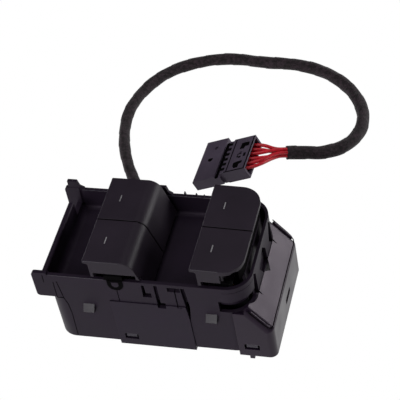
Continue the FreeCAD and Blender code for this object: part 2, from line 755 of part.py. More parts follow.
def build_key(name, front, right):
    """Hollow key that hinges on its pair's shaft, drawn about the shaft's axis."""
    s = Solid(name)
    start, length = key_frame(front)
    top = d.key_top - d.axis_height
    foot = d.skirt_bottom - d.axis_height
    lip = -d.lip_reach
    skirt = lip + d.skirt_setback + (0.5 if right else 0.0)
    under = top - d.lip_thickness
    w = d.key_wall
    if right:
        edge = d.right_reach
        side = edge - d.right_setback
        outer = [(lip, top), (lip, under), (skirt, under - 0.3), (skirt, foot), (side, foot),
                 (side, top - d.right_fall - d.right_lip), (edge, top - d.right_fall - d.right_lip + 0.5),
                 (edge, top - d.right_fall)]
        hollow = [(skirt + w, foot - 1), (side - w, foot - 1), (side - w, top - d.key_roof - d.right_fall),
                  (skirt + w, top - d.key_roof)]
        roof_right = side - w
    else:
        # the right side rolls over into a skirt that leans out
        lean = (d.roll_foot - d.roll_reach) / (top - foot)
        outer = [(lip, top), (lip, under), (skirt, under - 0.3), (skirt, foot), (d.roll_foot, foot),
                 (d.roll_reach, top)]
        inner_top = d.roll_reach - w + lean * d.key_roof - 0.6
        hollow = [(skirt + w, foot - 1), (d.roll_foot - w + lean, foot - 1),
                  (inner_top + lean * 3.0, top - d.key_roof - 3.0), (inner_top - 2.6, top - d.key_roof),
                  (skirt + w, top - d.key_roof)]
        roof_right = inner_top
    s.pad("XZ", 0, length, outer)
    s.fillet("y", [(skirt, under - 0.3)], 1.1)
    s.fillet("y", [(lip, top), (lip, under)], 0.35)
    if not right:
        s.fillet("y", [(d.roll_reach, top)], d.roll_radius)
    end_wall = 1.2
    first_wall, last_wall = (w, end_wall) if front else (as_size(end_wall), w)
    s.pocket("XZ", first_wall, length - last_wall, hollow)
    if right:
        # the outer corner is round in plan, with a smaller round below the lip
        r = d.right_corner_radius
        inset = d.right_setback
        flip = 1 if front else -1
        near = as_size(0) if front else length
        for radius, edge_x, edge_y, high in ((r, edge, near, top + 1),
                                             (r - inset, side, near + flip * inset, top - d.right_fall - d.right_lip)):
            shape = [(edge_x + 2, edge_y - flip * 2), (edge_x + 2, edge_y + flip * radius),
                     (edge_x, edge_y + flip * radius),
                     (edge_x - radius, edge_y, radius, "right" if front else "left"),
                     (edge_x - radius, edge_y - flip * 2)]
            s.pocket("XY", foot - 1, high, shape)
    # the parts that would meet the front wall's rim stop above it
    if front:
        rim = d.rim_height - d.axis_height
        s.pocket("XZ", -1, d.key_wall + 0.1, rectangle(skirt + w, foot - 1, roof_right + 3.0, rim + 4.0))
        s.pocket("XY", foot - 1, rim + 1.5, rectangle(lip - 1, -1, as_size(20), d.housing_wall + 0.4))
        if right:
            s.pocket("XY", foot - 1, top - d.right_fall - d.right_lip - 1.6,
                     rectangle(d.lug_rise, -1, as_size(20), d.right_corner_radius))
    # notch over the lugs and the shaft in the walls that the shaft passes
    for low, high in ((length - end_wall - 0.1, length + 1),) if front else ((as_size(-1), as_size(end_wall + 0.1)),):
        s.pocket("XZ", low, high, rectangle(-d.lug_radius - 2.2, foot - 1, d.lug_radius + 2.2, as_size(5.9)))
    # rib, hub and leg
    hub = front_hub if front else rear_hub
    low, high = hub[0] - start, hub[1] - start
    s.pad("XZ", low, high, rectangle(-1.0, 1.0, 1.0, top - d.key_roof + 0.2))
    s.pad("XZ", low, high, [(0, 0, d.hub_radius)])
    middle = (low + high) / 2
    tip = -d.leg_length
    s.pad("XZ", middle - d.leg_thickness / 2, middle + d.leg_thickness / 2,
          [(-1.6, 0), (-d.leg_neck / 2, tip), (d.leg_neck / 2, tip), (1.6, 0)])
    s.pad("XZ", middle - d.leg_thickness / 2, middle + d.leg_thickness / 2, [(0, tip, d.leg_radius)])
    s.pocket("XZ", low - 1, high + 1, [(0, 0, d.shaft_radius + d.running_gap)])
    # flat under the hub for the return leaf
    s.pocket("XZ", *leaf_rows(front, start, 0.3), rectangle(-3.6, -4.5, 3.6, -2.9))
    # window of the marker
    along = length / 2 + d.marker_shift
    across = lip + d.marker_inset
    s.pocket("XY", top - d.key_roof - 0.5, top + 1, rectangle(across - d.marker_width / 2, along - d.marker_length / 2,
                                                             across + d.marker_width / 2,
                                                             along + d.marker_length / 2))
    return s.done(right_axis if right else left_axis, start, d.axis_height)


def leaf_rows(front, start, spare):
    """Ends of a return leaf along the shaft, with spare room, from the key's own front end."""
    low = front_hub[0] + 1.0 if front else rear_hub[1] - 1.0 - d.leaf_width
    return low - start - spare, low - start + d.leaf_width + spare


def build_marker(name, front, right):
    """Pale insert that shows as a dash in the key's top."""
    axis = right_axis if right else left_axis
    start, length = key_frame(front)
    along = start + length / 2 + d.marker_shift
    across = axis - d.lip_reach + d.marker_inset
    return keep(name, box(name, across - d.marker_width / 2, across + d.marker_width / 2,
                          along - d.marker_length / 2, along + d.marker_length / 2,
                          d.key_top - d.key_roof, d.key_top))


def build_leaf(name, front, right):
    """Bowed return leaf between the carrier's bar and the flat under the hub."""
    s = Solid(name)
    low, high = leaf_rows(front, as_size(0), 0)
    t = d.leaf_thickness
    crown = d.axis_height - 3.02 - carrier_top
    s.pad("XZ", low, high, [(4.2, 0), (4.2, t), (3.2, t), (0.6, crown), (-0.6, crown), (-3.2, t), (-4.2, t),
                            (-4.2, 0), (-3.0, 0), (-0.45, crown - t), (0.45, crown - t), (3.0, 0)])
    return s.done(right_axis if right else left_axis, 0, carrier_top)


def build_slider_frame(name, axis):
    """Guide block that stands on the board and holds a pair's sliders."""
    s = Solid(name)
    half = d.slider_length / 2 + d.slider_travel + 0.3
    wide = d.slider_width / 2 + d.slider_gap
    narrow = wide - 1.2
    wall = d.frame_wall
    front, rear = front_leg - wide - 1.0, rear_leg + wide + 1.0
    ledge = board_top + 4.0
    s.pad("XY", board_top, floor_bottom - d.frame_top_gap, rectangle(axis - half - wall, front, axis + half + wall, rear))
    s.pocket("XY", board_top, board_top + 2.0, rectangle(axis - half, front + 1.0, axis + half, rear - 1.0))
    for row in leg_rows:
        s.pocket("XY", ledge, floor_bottom, rectangle(axis - half, row - wide, axis + half, row + wide))
        s.pocket("XY", board_top, ledge + 1, rectangle(axis - half, row - narrow, axis + half, row + narrow))
        s.pocket("XY", board_top, floor_bottom, [(axis + d.guide_offset, light_row(row), d.guide_radius + 0.1)])
    return s.done()


def build_slider(name, front, right):
    """Slider that the key's leg drives along X."""
    s = Solid(name)
    row = front_leg if front else rear_leg
    half = d.slider_length / 2
    wide = d.slider_width / 2
    low = board_top + 4.1
    s.pad("XY", low, low + d.slider_height, rectangle(-half, -wide, half, wide))
    s.pad("XY", low - 1.8, low + 0.5, rectangle(-half + 1, -wide + 1.3, half - 1, wide - 1.3))
    mouth = d.leg_radius + d.running_gap
    bottom = d.axis_height - d.leg_length - d.leg_radius - 0.5
    s.pocket("XY", bottom, low + d.slider_height + 1, rectangle(-mouth, -2.4, mouth, 2.4))
    return s.done(right_axis if right else left_axis, row, 0)


def build_wiper(name, front, right):
    """Bronze contact spring under a slider, with two fingers towards the board."""
    s = Solid(name)
    row = front_leg if front else rear_leg
    t = d.wiper_thickness
    top = board_top + 2.3
    s.pad("XZ", -2.0, 2.0, [(-3.4, top - t), (-1.6, top - t), (-2.2, board_top + 0.35), (-1.7, board_top + 0.35),
                            (-1.0, top - t), (1.0, top - t), (1.7, board_top + 0.35), (2.2, board_top + 0.35),
                            (1.6, top - t), (3.4, top - t), (3.4, top), (-3.4, top)])
    return s.done(right_axis if right else left_axis, row, 0)


def build_board():
    """Printed board with holes for the pins of the base cover."""
    s = Solid("circuit_board")
    s.pad("XY", d.board_bottom, board_top, rectangle(board_left, -board_half, board_right, board_half))
    for x, y in post_places():
        s.pocket("XY", d.board_bottom - 1, board_top + 1, [(x, y, d.pin_radius + 0.1)])
    return s.done()


def build_board_parts():
    """Lamps, light guides, driver chip, resistors and the header of the harness plug."""
    lamps = []
    guides = []
    for number, (axis, row) in enumerate((a, r) for a in axes for r in leg_rows):
        x, y = axis + d.guide_offset, light_row(row)
        lamps.append(box(f"lamp{number}", x - 0.8, x + 0.8, y - 1.2, y + 1.2, board_top, board_top + 0.9))
        guides.append(rod(f"guide{number}", d.guide_radius, floor_top - board_top - 0.6, x, y, board_top + 1.2))
    group("board_lamps", *lamps)
    group("light_guides", *guides)
    keep("driver_chip", box("driver_chip", 0, 8, -4, 3, board_top, board_top + 1.7))
    resistors = [box(f"resistor{n}", 2 * n - 4.0, 2 * n - 2.8, 8, 10.4, board_top, board_top + 0.7) for n in range(6)]
    group("resistor_row", *resistors)
    half = d.plug_width / 2
    rear = inner_face - 4.4
    plug_top = d.cord_height + 3.6
    keep("board_header", box("board_header", cord_x - half + 0.6, cord_x + half - 0.6,
                             rear - d.plug_depth + 1, rear - 1, plug_top, d.board_bottom))
    block = box("plug_block", cord_x - half, cord_x + half, rear - d.plug_depth, rear,
                d.cord_height - 3.6, plug_top)
    latch = box("plug_latch", cord_x - 2.5, cord_x + 2.5, rear - d.plug_depth - 1.2, rear - d.plug_depth,
                plug_top - 4, plug_top - 0.5)
    keep("harness_plug", fuse("harness_plug", block, latch))
    lead_radius = d.cord_diameter / 2
    keep("inner_lead", rod("inner_lead", lead_radius, face + d.gland_nose - rear, cord_x, rear,
                           d.cord_height, "y"))


def build_gland():
    """Rubber gland that is gripped by the rear wall, with a tapered nose outside."""
    s = Solid("cable_gland")
    s.pad("XZ", inner_face - 1.6, inner_face, [(0, 0, d.gland_radius + 1.0)])
    s.pad("XZ", inner_face - 0.2, face + 0.2, [(0, 0, d.gland_radius)])
    s.pad("XZ", face, face + 1.6, [(0, 0, d.gland_radius + 1.0)])
    s.pad("XZ", face + 1.5, face + d.gland_nose * 0.6, [(0, 0, d.gland_radius - 0.3)])
    s.pad("XZ", face + d.gland_nose * 0.5, face + d.gland_nose, [(0, 0, d.gland_radius - 0.9)])
    s.pocket("XZ", inner_face - 3, face + d.gland_nose + 1, [(0, 0, d.cord_diameter / 2)])
    return s.done(cord_x, 0, d.cord_height)


# Route of the harness lead over the ground, chosen by hand: out of the gland, down to the
# surface and round in a loop to the connector, whose raised end lifts the last stretch.
LEAD_ROUTE = [
    (-26.0, 34.25, 10.2), (-26.0, 42.0, 10.2), (-27.4, 52.5, 5.2), (-33.0, 64.0, 2.65), (-42.5, 77.0, 2.65),
    (-50.6, 93.5, 2.65), (-56.2, 111.0, 2.65), (-57.2, 128.0, 2.65), (-52.2, 145.0, 2.65), (-41.0, 159.5, 2.65),
    (-26.0, 167.8, 2.65), (-9.5, 170.6, 2.65), (8.0, 168.4, 2.65), (25.5, 167.8, 2.65), (42.5, 163.0, 2.65),
    (57.0, 151.8, 2.65), (66.6, 136.0, 2.65), (68.6, 120.5, 2.65), (62.6, 107.2, 3.0), (51.6, 99.4, 5.0),
    (42.0, 97.0, 7.6), (35.0, 94.2, 9.4),
]


def rounded_path(points):
    """Joins points by straight runs with the largest tangent arcs that the runs allow."""
    spots = [Vector(*p) for p in points]
    edges = []
    radii = []
    start = spots[0]
    for before, corner, after in zip(spots, spots[1:], spots[2:]):
        inward = (corner - before).normalize()
        outward = (after - corner).normalize()
        turn = inward.getAngle(outward)
        reach = 0.45 * min((corner - before).Length, (after - corner).Length)
        radius = reach / math.tan(turn / 2)
        first = corner - inward * reach
        last = corner + outward * reach
        bisector = (outward - inward).normalize()
        centre = corner + bisector * math.hypot(reach, radius)
        middle = centre - bisector * radius
        edges.append(Part.LineSegment(start, first).toShape())
        edges.append(Part.Arc(first, middle, last).toShape())
        radii.append(radius)
        start = last
    edges.append(Part.LineSegment(start, spots[-1]).toShape())
    return Part.Wire(edges), radii


def tube(points, diameter):
    """Solid of a cord along rounded straight runs."""
    path, radii = rounded_path(points)
    direction = Vector(*points[1]) - Vector(*points[0])
    section = Part.Wire([Part.Circle(Vector(*points[0]), direction, diameter / 2).toShape()])
    solid = path.makePipeShell([section], True, False)
    expected = math.pi * diameter ** 2 / 4 * path.Length
    ratio = solid.Volume / expected
    print(f"tube: length {path.Length:.1f}, tightest radius {min(radii):.1f}, volume ratio {ratio:.4f}")
    return solid


def feature(name, shape):
    """Keeps a shape that is made by the script's own geometry."""
    thing = document.addObject("Part::Feature", name)
    thing.Shape = shape
    return keep(name, thing)


def build_lead():
    """Taped harness lead from the gland to the wires."""
    return feature("harness_lead", tube(LEAD_ROUTE, d.cord_diameter.value))


def connector_point(depth, across, height):
    """World place of a point of the tilted connector."""
    return connector_frame().multVec(Vector(depth, across, height))


def connector_frame():
    """Placement of the connector, resting on the lower edge of its nose."""
    tilt = Rotation(Vector(0, 1, 0), -d.connector_tilt.value)
    turn = Rotation(Vector(0, 0, 1), d.connector_turn.value)
    return Placement(Vector(d.connector_x.value, d.connector_y.value, 0.0), turn.multiply(tilt))


def build_wires():
    """Six red wires that fan out of the taped lead into the connector's rear."""
    end = Vector(*LEAD_ROUTE[-1])
    before = Vector(*LEAD_ROUTE[-2])
    along = (end - before).normalize()
    side = along.cross(Vector(0, 0, 1)).normalize()
    up = side.cross(along)
    shapes = []
    for number, rank in enumerate(WIRE_RANKS):
        angle = math.radians(60 * number + 20)
        start = end + (side * math.cos(angle) + up * math.sin(angle)) * 1.72
        across = d.body_offset.value + 3.0 + 3.4 * rank
        entry = connector_point(25.5, across, 4.2)
        ahead = connector_point(32.5, across + 1.2, 2.2)
        points = [tuple(p) for p in (start, start + along * 5.5, ahead, entry)]
        shapes.append(tube(points, d.wire_diameter.value))
    return feature("connector_wires", Part.makeCompound(shapes))


# Place in the connector's row for each wire of the bundle, so that no wires cross.
WIRE_RANKS = [5, 3, 1, 0, 2, 4]


def build_connector():
    """Tilted harness connector: nose cover, slotted body and rear retainer."""
    t = d.connector_height
    nose = Solid("connector_nose")
    edge = d.body_offset
    nose.pad("XY", 0, t - 1.0, rectangle(0, 0, d.nose_depth, d.connector_width))
    nose.fillet("y", [(0, t - 1.0)], 1.0)
    nose.pocket("XY", -1, t, [(6.5, d.connector_width / 2 + 0.3, 0.8)])
    nose.pocket("XY", t - 2.0, t, [(8.0, d.connector_width - 6.0, 1.1)])
    nose.pocket("XY", -1, t - 3.6, rectangle(1.4, 1.4, d.nose_depth + 1, d.connector_width - 1.4))
    nose.pocket("XY", -1, 1.4, rectangle(-1, 3.6, 2.2, 8.0))
    body = Solid("connector_body")
    front = d.nose_depth + 0.1
    body.pad("XY", 0.6, t - 1.9, rectangle(front, edge - 1.2, front + d.channel_depth, edge + d.body_width + 1.2))
    body.pad("XY", 0, t - 0.4, rectangle(front + d.channel_depth - 0.1, edge, d.body_end, edge + d.body_width))
    for number in range(6):
        low = edge + 2.0 + number * 3.55
        body.pocket("XY", t - 2.2, t + 1, rectangle(front + 1.2, low, front + 4.8, low + 1.9))
    cap = Solid("connector_retainer")
    start = d.body_end + 0.1
    end = d.connector_depth
    cap.pad("XY", 0, t, rectangle(start, edge - 0.4, end, edge + d.body_width + 0.4))
    cap.pocket("YZ", start + 1.6, end + 1, rectangle(edge + 0.8, 0.9, edge + d.body_width - 0.8, t - 0.9))
    rear = start + 5.5
    for low in (edge + 1.5, edge + 15.0):
        cap.pocket("XY", t - 0.6, t + 1, [(rear, low), (rear + 2.4, low), (rear + 2.4, low + 2.2), (rear + 3.8, low + 4.6),
                                          (rear + 0.8, low + 4.6), (rear, low + 2.6)])
    for low in (edge + 8.6, edge + 11.4):
        cap.pocket("XY", t - 0.6, t + 1, rectangle(rear + 0.5, low, rear + 2.1, low + 1.6))
    for solid in (nose, body, cap):
        place(solid.body, d.connector_x, d.connector_y, 0, connector_frame().Rotation)
        keep(solid.name, solid.body)


def build_all():
    """Builds every piece of the switch."""
    build_housing()
    build_end_cap()
    build_base_cover()
    for side, axis in (("left", left_axis), ("right", right_axis)):
        build_carrier(f"{side}_pivot_carrier", axis, side == "left")
        build_shaft(f"{side}_key_shaft", axis, side == "left")
        build_slider_frame(f"{side}_slider_frame", axis)
        for row in ("front", "rear"):
            where = (row == "front", side == "right")
            build_key(f"{row}_{side}_key", *where)
            build_marker(f"{row}_{side}_marker", *where)
            build_leaf(f"{row}_{side}_return_leaf", *where)
            build_slider(f"{row}_{side}_slider", *where)
            build_wiper(f"{row}_{side}_wiper", *where)
    build_board()
    build_board_parts()
    build_gland()
    build_lead()
    build_connector()
    build_wires()


def write_parts():
    """Checks every object and solid, then writes one file for each node."""
    document.recompute()
    faults = [o.Label for o in document.Objects if {"Invalid", "Error"} & set(o.State)]
    for name, thing in nodes.items():
        if thing.Shape.isNull() or not thing.Shape.isValid() or not thing.Shape.Solids:
            faults.append(name)
    if faults:
        raise RuntimeError("faulty pieces: " + ", ".join(faults))
    os.makedirs("parts", exist_ok=True)
    for name, thing in nodes.items():
        thing.Shape.exportStep(f"parts/{name}.step")
        print(f"{name}: {len(thing.Shape.Solids)} solid, {thing.Shape.Volume:.1f} mm3")


build_all()
write_parts()
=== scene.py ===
"""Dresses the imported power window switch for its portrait.

The CAD solids carry the shape of the switch. This script adds the taped lead and its wires as
smooth tubes and the small trim that the solids leave out, gives every piece its finish, and sets
the camera, the studio light and the floor. All sizes are in metres unless a name says otherwise.
"""

import json
import logging
import math
from dataclasses import dataclass, field
from enum import Enum

import bpy
import numpy as np
from mathutils import Matrix, Vector

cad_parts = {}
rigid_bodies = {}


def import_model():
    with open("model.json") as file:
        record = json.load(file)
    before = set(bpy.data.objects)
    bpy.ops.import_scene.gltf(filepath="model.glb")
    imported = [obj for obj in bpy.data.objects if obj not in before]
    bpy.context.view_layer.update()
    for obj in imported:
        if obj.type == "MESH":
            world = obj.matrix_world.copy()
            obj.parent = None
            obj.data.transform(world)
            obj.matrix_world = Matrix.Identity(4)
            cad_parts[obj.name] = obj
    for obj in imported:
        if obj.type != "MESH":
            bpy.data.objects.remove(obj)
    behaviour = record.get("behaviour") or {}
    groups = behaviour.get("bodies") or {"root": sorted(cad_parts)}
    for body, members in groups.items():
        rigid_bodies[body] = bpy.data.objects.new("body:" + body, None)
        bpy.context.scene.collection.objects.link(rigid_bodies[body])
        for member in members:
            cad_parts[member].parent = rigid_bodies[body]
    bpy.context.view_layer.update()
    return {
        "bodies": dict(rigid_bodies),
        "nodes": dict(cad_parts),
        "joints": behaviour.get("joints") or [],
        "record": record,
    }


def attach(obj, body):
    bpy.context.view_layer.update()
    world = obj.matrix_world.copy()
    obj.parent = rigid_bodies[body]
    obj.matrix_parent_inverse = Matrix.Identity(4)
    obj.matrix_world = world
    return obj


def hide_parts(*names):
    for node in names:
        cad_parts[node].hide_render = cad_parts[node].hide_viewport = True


LOG = logging.getLogger("switch")
MM = 0.001

Socket = bpy.types.NodeSocket

# Length that one turn round a tube takes in its UV coordinates.
TURN_LENGTH = 16.0 * MM

# Where the near lower corner of the connector's nose stands.
CONNECTOR_MM = (-7.35, 73.05, 0.0)

# Axes of an outline and of its extrusion: x and z along y, and z and y along x.
FRONTAL = np.array([(1.0, 0.0, 0.0), (0.0, 0.0, 1.0), (0.0, 1.0, 0.0)])
SIDEWAYS = np.array([(0.0, 0.0, 1.0), (0.0, 1.0, 0.0), (1.0, 0.0, 0.0)])


def linear(code: str, alpha: float = 1.0) -> tuple[float, float, float, float]:
    """Turns an sRGB hex colour into the linear colour that shaders take.

    Args:
        code: Six hex digits, such as "2b2c30".
        alpha: Opacity of the result.

    Returns:
        Linear red, green, blue and alpha.
    """
    channels = [int(code[i : i + 2], 16) / 255 for i in (0, 2, 4)]
    curve = [c / 12.92 if c <= 0.04045 else ((c + 0.055) / 1.055) ** 2.4 for c in channels]
    return (*curve, alpha)


class Space(Enum):
    """Coordinates that a pattern is laid out in."""

    OBJECT = "Object"
    SURFACE = "UV"


class NodeBoard:
    """Node tree of one material, filled from left to right."""

    def __init__(self, name: str):
        """Starts an empty material.

        Args:
            name: Name of the material.
        """
        self.material = bpy.data.materials.new(name)
        self.material.use_nodes = True
        self.tree = self.material.node_tree
        self.tree.nodes.clear()
        self.output = self.add("ShaderNodeOutputMaterial")

    def add(self, kind: str, settings: dict | None = None, **links) -> bpy.types.Node:
        """Adds one node with its settings and inputs.

        Args:
            kind: Blender's name of the node type.
            settings: Node properties by name.
            links: Inputs by socket name with underscores for spaces. A value is set on the
                socket, and a socket of another node is linked to it.

        Returns:
            The new node.
        """
        node = self.tree.nodes.new(kind)
        for name, value in (settings or {}).items():
            setattr(node, name, value)
        for name, value in links.items():
            socket = self.socket(node, name)
            if isinstance(value, Socket):
                self.tree.links.new(value, socket)
            else:
                socket.default_value = value
        return node

    @classmethod
    def for_tree(cls, tree: bpy.types.NodeTree) -> "NodeBoard":
        """Wraps a tree that belongs to something else than a material.

        Args:
            tree: The tree, emptied by the caller.

        Returns:
            A board that adds to the tree.
        """
        board = cls.__new__(cls)
        board.tree = tree
        return board

    def direct_view(self) -> Socket:
        """Tells rays from the camera, from a gloss and through glass from those that light.

        Returns:
            A socket that is 1 for the rays that see the surface.
        """
        rays = self.add("ShaderNodeLightPath").outputs
        either = {"operation": "MAXIMUM"}
        gloss = self.add("ShaderNodeMath", either, n0=rays["Is Camera Ray"], n1=rays["Is Glossy Ray"])
        seen = self.add("ShaderNodeMath", either, n0=gloss.outputs[0], n1=rays["Is Transmission Ray"])
        return seen.outputs[0]

    @staticmethod
    def socket(node: bpy.types.Node, name: str) -> Socket:
        """Finds an input by its name or by its number written as "n1".

        Args:
            node: Node that has the input.
            name: Socket name with underscores for spaces, or "n" and the input's number.

        Returns:
            The input socket.
        """
        if name[0] == "n" and name[1:].isdigit():
            return node.inputs[int(name[1:])]
        return node.inputs[name.replace("_", " ")]

    def place(self, space: Space = Space.OBJECT) -> Socket:
        """Gives the coordinates of a point of the surface.

        Args:
            space: Which coordinates to use.

        Returns:
            The coordinate socket.
        """
        return self.add("ShaderNodeTexCoord").outputs[space.value]

    def noise(self, size_mm: float, detail: float = 3.0, roughness: float = 0.5,
              stretch: tuple[float, float, float] = (1.0, 1.0, 1.0)) -> Socket:
        """Adds a noise whose blotches have a real size.

        Args:
            size_mm: Size of one blotch.
            detail: Number of finer layers.
            roughness: Strength of the finer layers.
            stretch: Scale of each axis, larger for shorter blotches.

        Returns:
            The noise's value socket.
        """
        scaled = self.add("ShaderNodeMapping", n0=self.place(), n3=stretch).outputs[0]
        noise = self.add("ShaderNodeTexNoise", Vector=scaled, Scale=1000.0 / size_mm, Detail=detail,
                         Roughness=roughness)
        return noise.outputs[0]

    def ramp(self, value: Socket, low: float, high: float, start: float, end: float) -> Socket:
        """Maps a range of a value to another range, clamped.

        Args:
            value: Socket to read.
            low: Value that gives the start.
            high: Value that gives the end.
            start: Result at low.
            end: Result at high.

        Returns:
            The mapped socket.
        """
        node = self.add("ShaderNodeMapRange", Value=value, From_Min=low, From_Max=high, To_Min=start,
                        To_Max=end)
        return node.outputs[0]

    def mix(self, factor: float | Socket, first: tuple | Socket, second: tuple | Socket) -> Socket:
        """Mixes two colours.

        Args:
            factor: Socket or number from 0 to 1.
            first: Colour or socket at 0.
            second: Colour or socket at 1.

        Returns:
            The mixed colour socket.
        """
        node = self.add("ShaderNodeMix", {"data_type": "RGBA"}, n0=factor, n6=first, n7=second)
        return node.outputs[2]

    def shade(self, **links) -> bpy.types.Material:
        """Ends the tree with one principled shader.

        Args:
            links: Inputs of the shader.

        Returns:
            The finished material.
        """
        shader = self.add("ShaderNodeBsdfPrincipled", **links)
        self.tree.links.new(shader.outputs[0], self.output.inputs[0])
        return self.material


@dataclass(frozen=True)
class MouldedPlastic:
    """Injection-moulded plastic with the fine texture of a spark-eroded tool.

    The grain gives the bump, a wider cloud varies colour and roughness as flow and handling do,
    and a bevel normal rounds the sharp solid edges by the radius that the tool leaves. The tint
    colours the gloss, which the photograph shows a little violet.

    Attributes:
        name: Name of the real finish.
        colour: sRGB hex of the plastic.
        roughness: Mean roughness, which the cloud varies by the unevenness.
        grain_mm: Size of the grain.
        grain_depth: Strength of the grain's bump.
        cloud_mm: Size of the cloud.
        cloud: Share by which the cloud lightens and darkens the colour.
        edge_mm: Radius that a sharp edge seems to have.
        specular: Strength of the gloss.
        tint: sRGB hex of the gloss.
        unevenness: How far the roughness strays from its mean.
    """

    name: str
    colour: str
    roughness: float
    grain_mm: float = 0.32
    grain_depth: float = 0.16
    cloud_mm: float = 14.0
    cloud: float = 0.10
    edge_mm: float = 0.25
    specular: float = 0.5
    tint: str = "ffffff"
    unevenness: float = 0.04

    def build(self) -> bpy.types.Material:
        """Builds the material.

        Returns:
            The finished material.
        """
        board = NodeBoard(self.name)
        base = linear(self.colour)
        light = tuple(c * (1 + self.cloud) for c in base[:3]) + (1.0,)
        dark = tuple(c * (1 - self.cloud) for c in base[:3]) + (1.0,)
        cloud = board.ramp(board.noise(self.cloud_mm, 4.0), 0.35, 0.65, 0.0, 1.0)
        colour = board.mix(cloud, dark, light)
        grain = board.noise(self.grain_mm, 2.0, 0.6)
        smoothest, roughest = self.roughness - self.unevenness, self.roughness + self.unevenness
        rough = board.ramp(cloud, 0.0, 1.0, smoothest, roughest)
        edge = board.add("ShaderNodeBevel", {"samples": 4}, Radius=self.edge_mm * MM)
        bump = board.add("ShaderNodeBump", Strength=self.grain_depth, Distance=0.02 * MM, Height=grain,
                         Normal=edge.outputs[0])
        return board.shade(Base_Color=colour, Roughness=rough, Normal=bump.outputs[0],
                           Specular_IOR_Level=self.specular, Specular_Tint=linear(self.tint))


@dataclass(frozen=True)
class Metal:
    """Drawn or rolled metal with fine lines along one axis."""

    name: str
    colour: str
    roughness: float
    line_mm: float = 0.12
    stretch: tuple[float, float, float] = (1.0, 0.05, 1.0)

    def build(self) -> bpy.types.Material:
        """Builds the material.

        Returns:
            The finished material.
        """
        board = NodeBoard(self.name)
        lines = board.noise(self.line_mm, 2.0, 0.5, self.stretch)
        rough = board.ramp(lines, 0.3, 0.7, self.roughness * 0.8, self.roughness * 1.3)
        bump = board.add("ShaderNodeBump", Strength=0.15, Distance=0.01 * MM, Height=lines)
        return board.shade(Base_Color=linear(self.colour), Metallic=1.0, Roughness=rough,
                           Normal=bump.outputs[0])


@dataclass(frozen=True)
class HarnessTape:
    """Fleece harness tape: matt black fibres with a faint weave across the tape."""

    name: str
    colour: str
    fleece: str
    roughness: float = 0.85
    weave_share: float = 0.35

    def build(self) -> bpy.types.Material:
        """Builds the material.

        Returns:
            The finished material.
        """
        board = NodeBoard(self.name)
        fibres = board.noise(0.45, 5.0, 0.75)
        tufts = board.noise(1.6, 3.0, 0.6)
        place = board.place(Space.SURFACE)
        bands = {"wave_type": "BANDS", "bands_direction": "X"}
        weave = board.add("ShaderNodeTexWave", bands, Vector=place, Scale=420.0, Distortion=3.0, Detail=2.0,
                          Detail_Scale=2.0)
        spread = board.ramp(tufts, 0.4, 0.65, 0.0, 1.0)
        colour = board.mix(spread, linear(self.colour), linear(self.fleece))
        height = board.add("ShaderNodeMath", {"operation": "MULTIPLY_ADD"}, n0=weave.outputs[1],
                           n1=self.weave_share, n2=fibres)
        bump = board.add("ShaderNodeBump", Strength=0.7, Distance=0.12 * MM, Height=height.outputs[0])
        return board.shade(Base_Color=colour, Roughness=self.roughness, Normal=bump.outputs[0],
                           Sheen_Weight=0.25, Sheen_Roughness=0.4, Specular_IOR_Level=0.3)


@dataclass(frozen=True)
class WireSleeve:
    """Extruded wire insulation, smooth and a little glossy."""

    name: str
    colour: str
    shade_colour: str
    roughness: float = 0.34

    def build(self) -> bpy.types.Material:
        """Builds the material.

        Returns:
            The finished material.
        """
        board = NodeBoard(self.name)
        cloud = board.ramp(board.noise(3.0), 0.35, 0.65, 0.0, 1.0)
        colour = board.mix(cloud, linear(self.shade_colour), linear(self.colour))
        bump = board.add("ShaderNodeBump", Strength=0.1, Distance=0.02 * MM, Height=board.noise(0.6))
        return board.shade(Base_Color=colour, Roughness=self.roughness, Normal=bump.outputs[0])


@dataclass(frozen=True)
class BoardMask:
    """Green solder mask over copper, with the tracks as faint paler lines."""

    name: str
    mask: str
    track: str

    def build(self) -> bpy.types.Material:
        """Builds the material.

        Returns:
            The finished material.
        """
        board = NodeBoard(self.name)
        cells = board.add("ShaderNodeTexBrick", Vector=board.place(), Scale=220.0, Mortar_Size=0.03,
                          Color1=linear(self.mask), Color2=linear(self.mask), Mortar=linear(self.track))
        return board.shade(Base_Color=cells.outputs[0], Roughness=0.35)


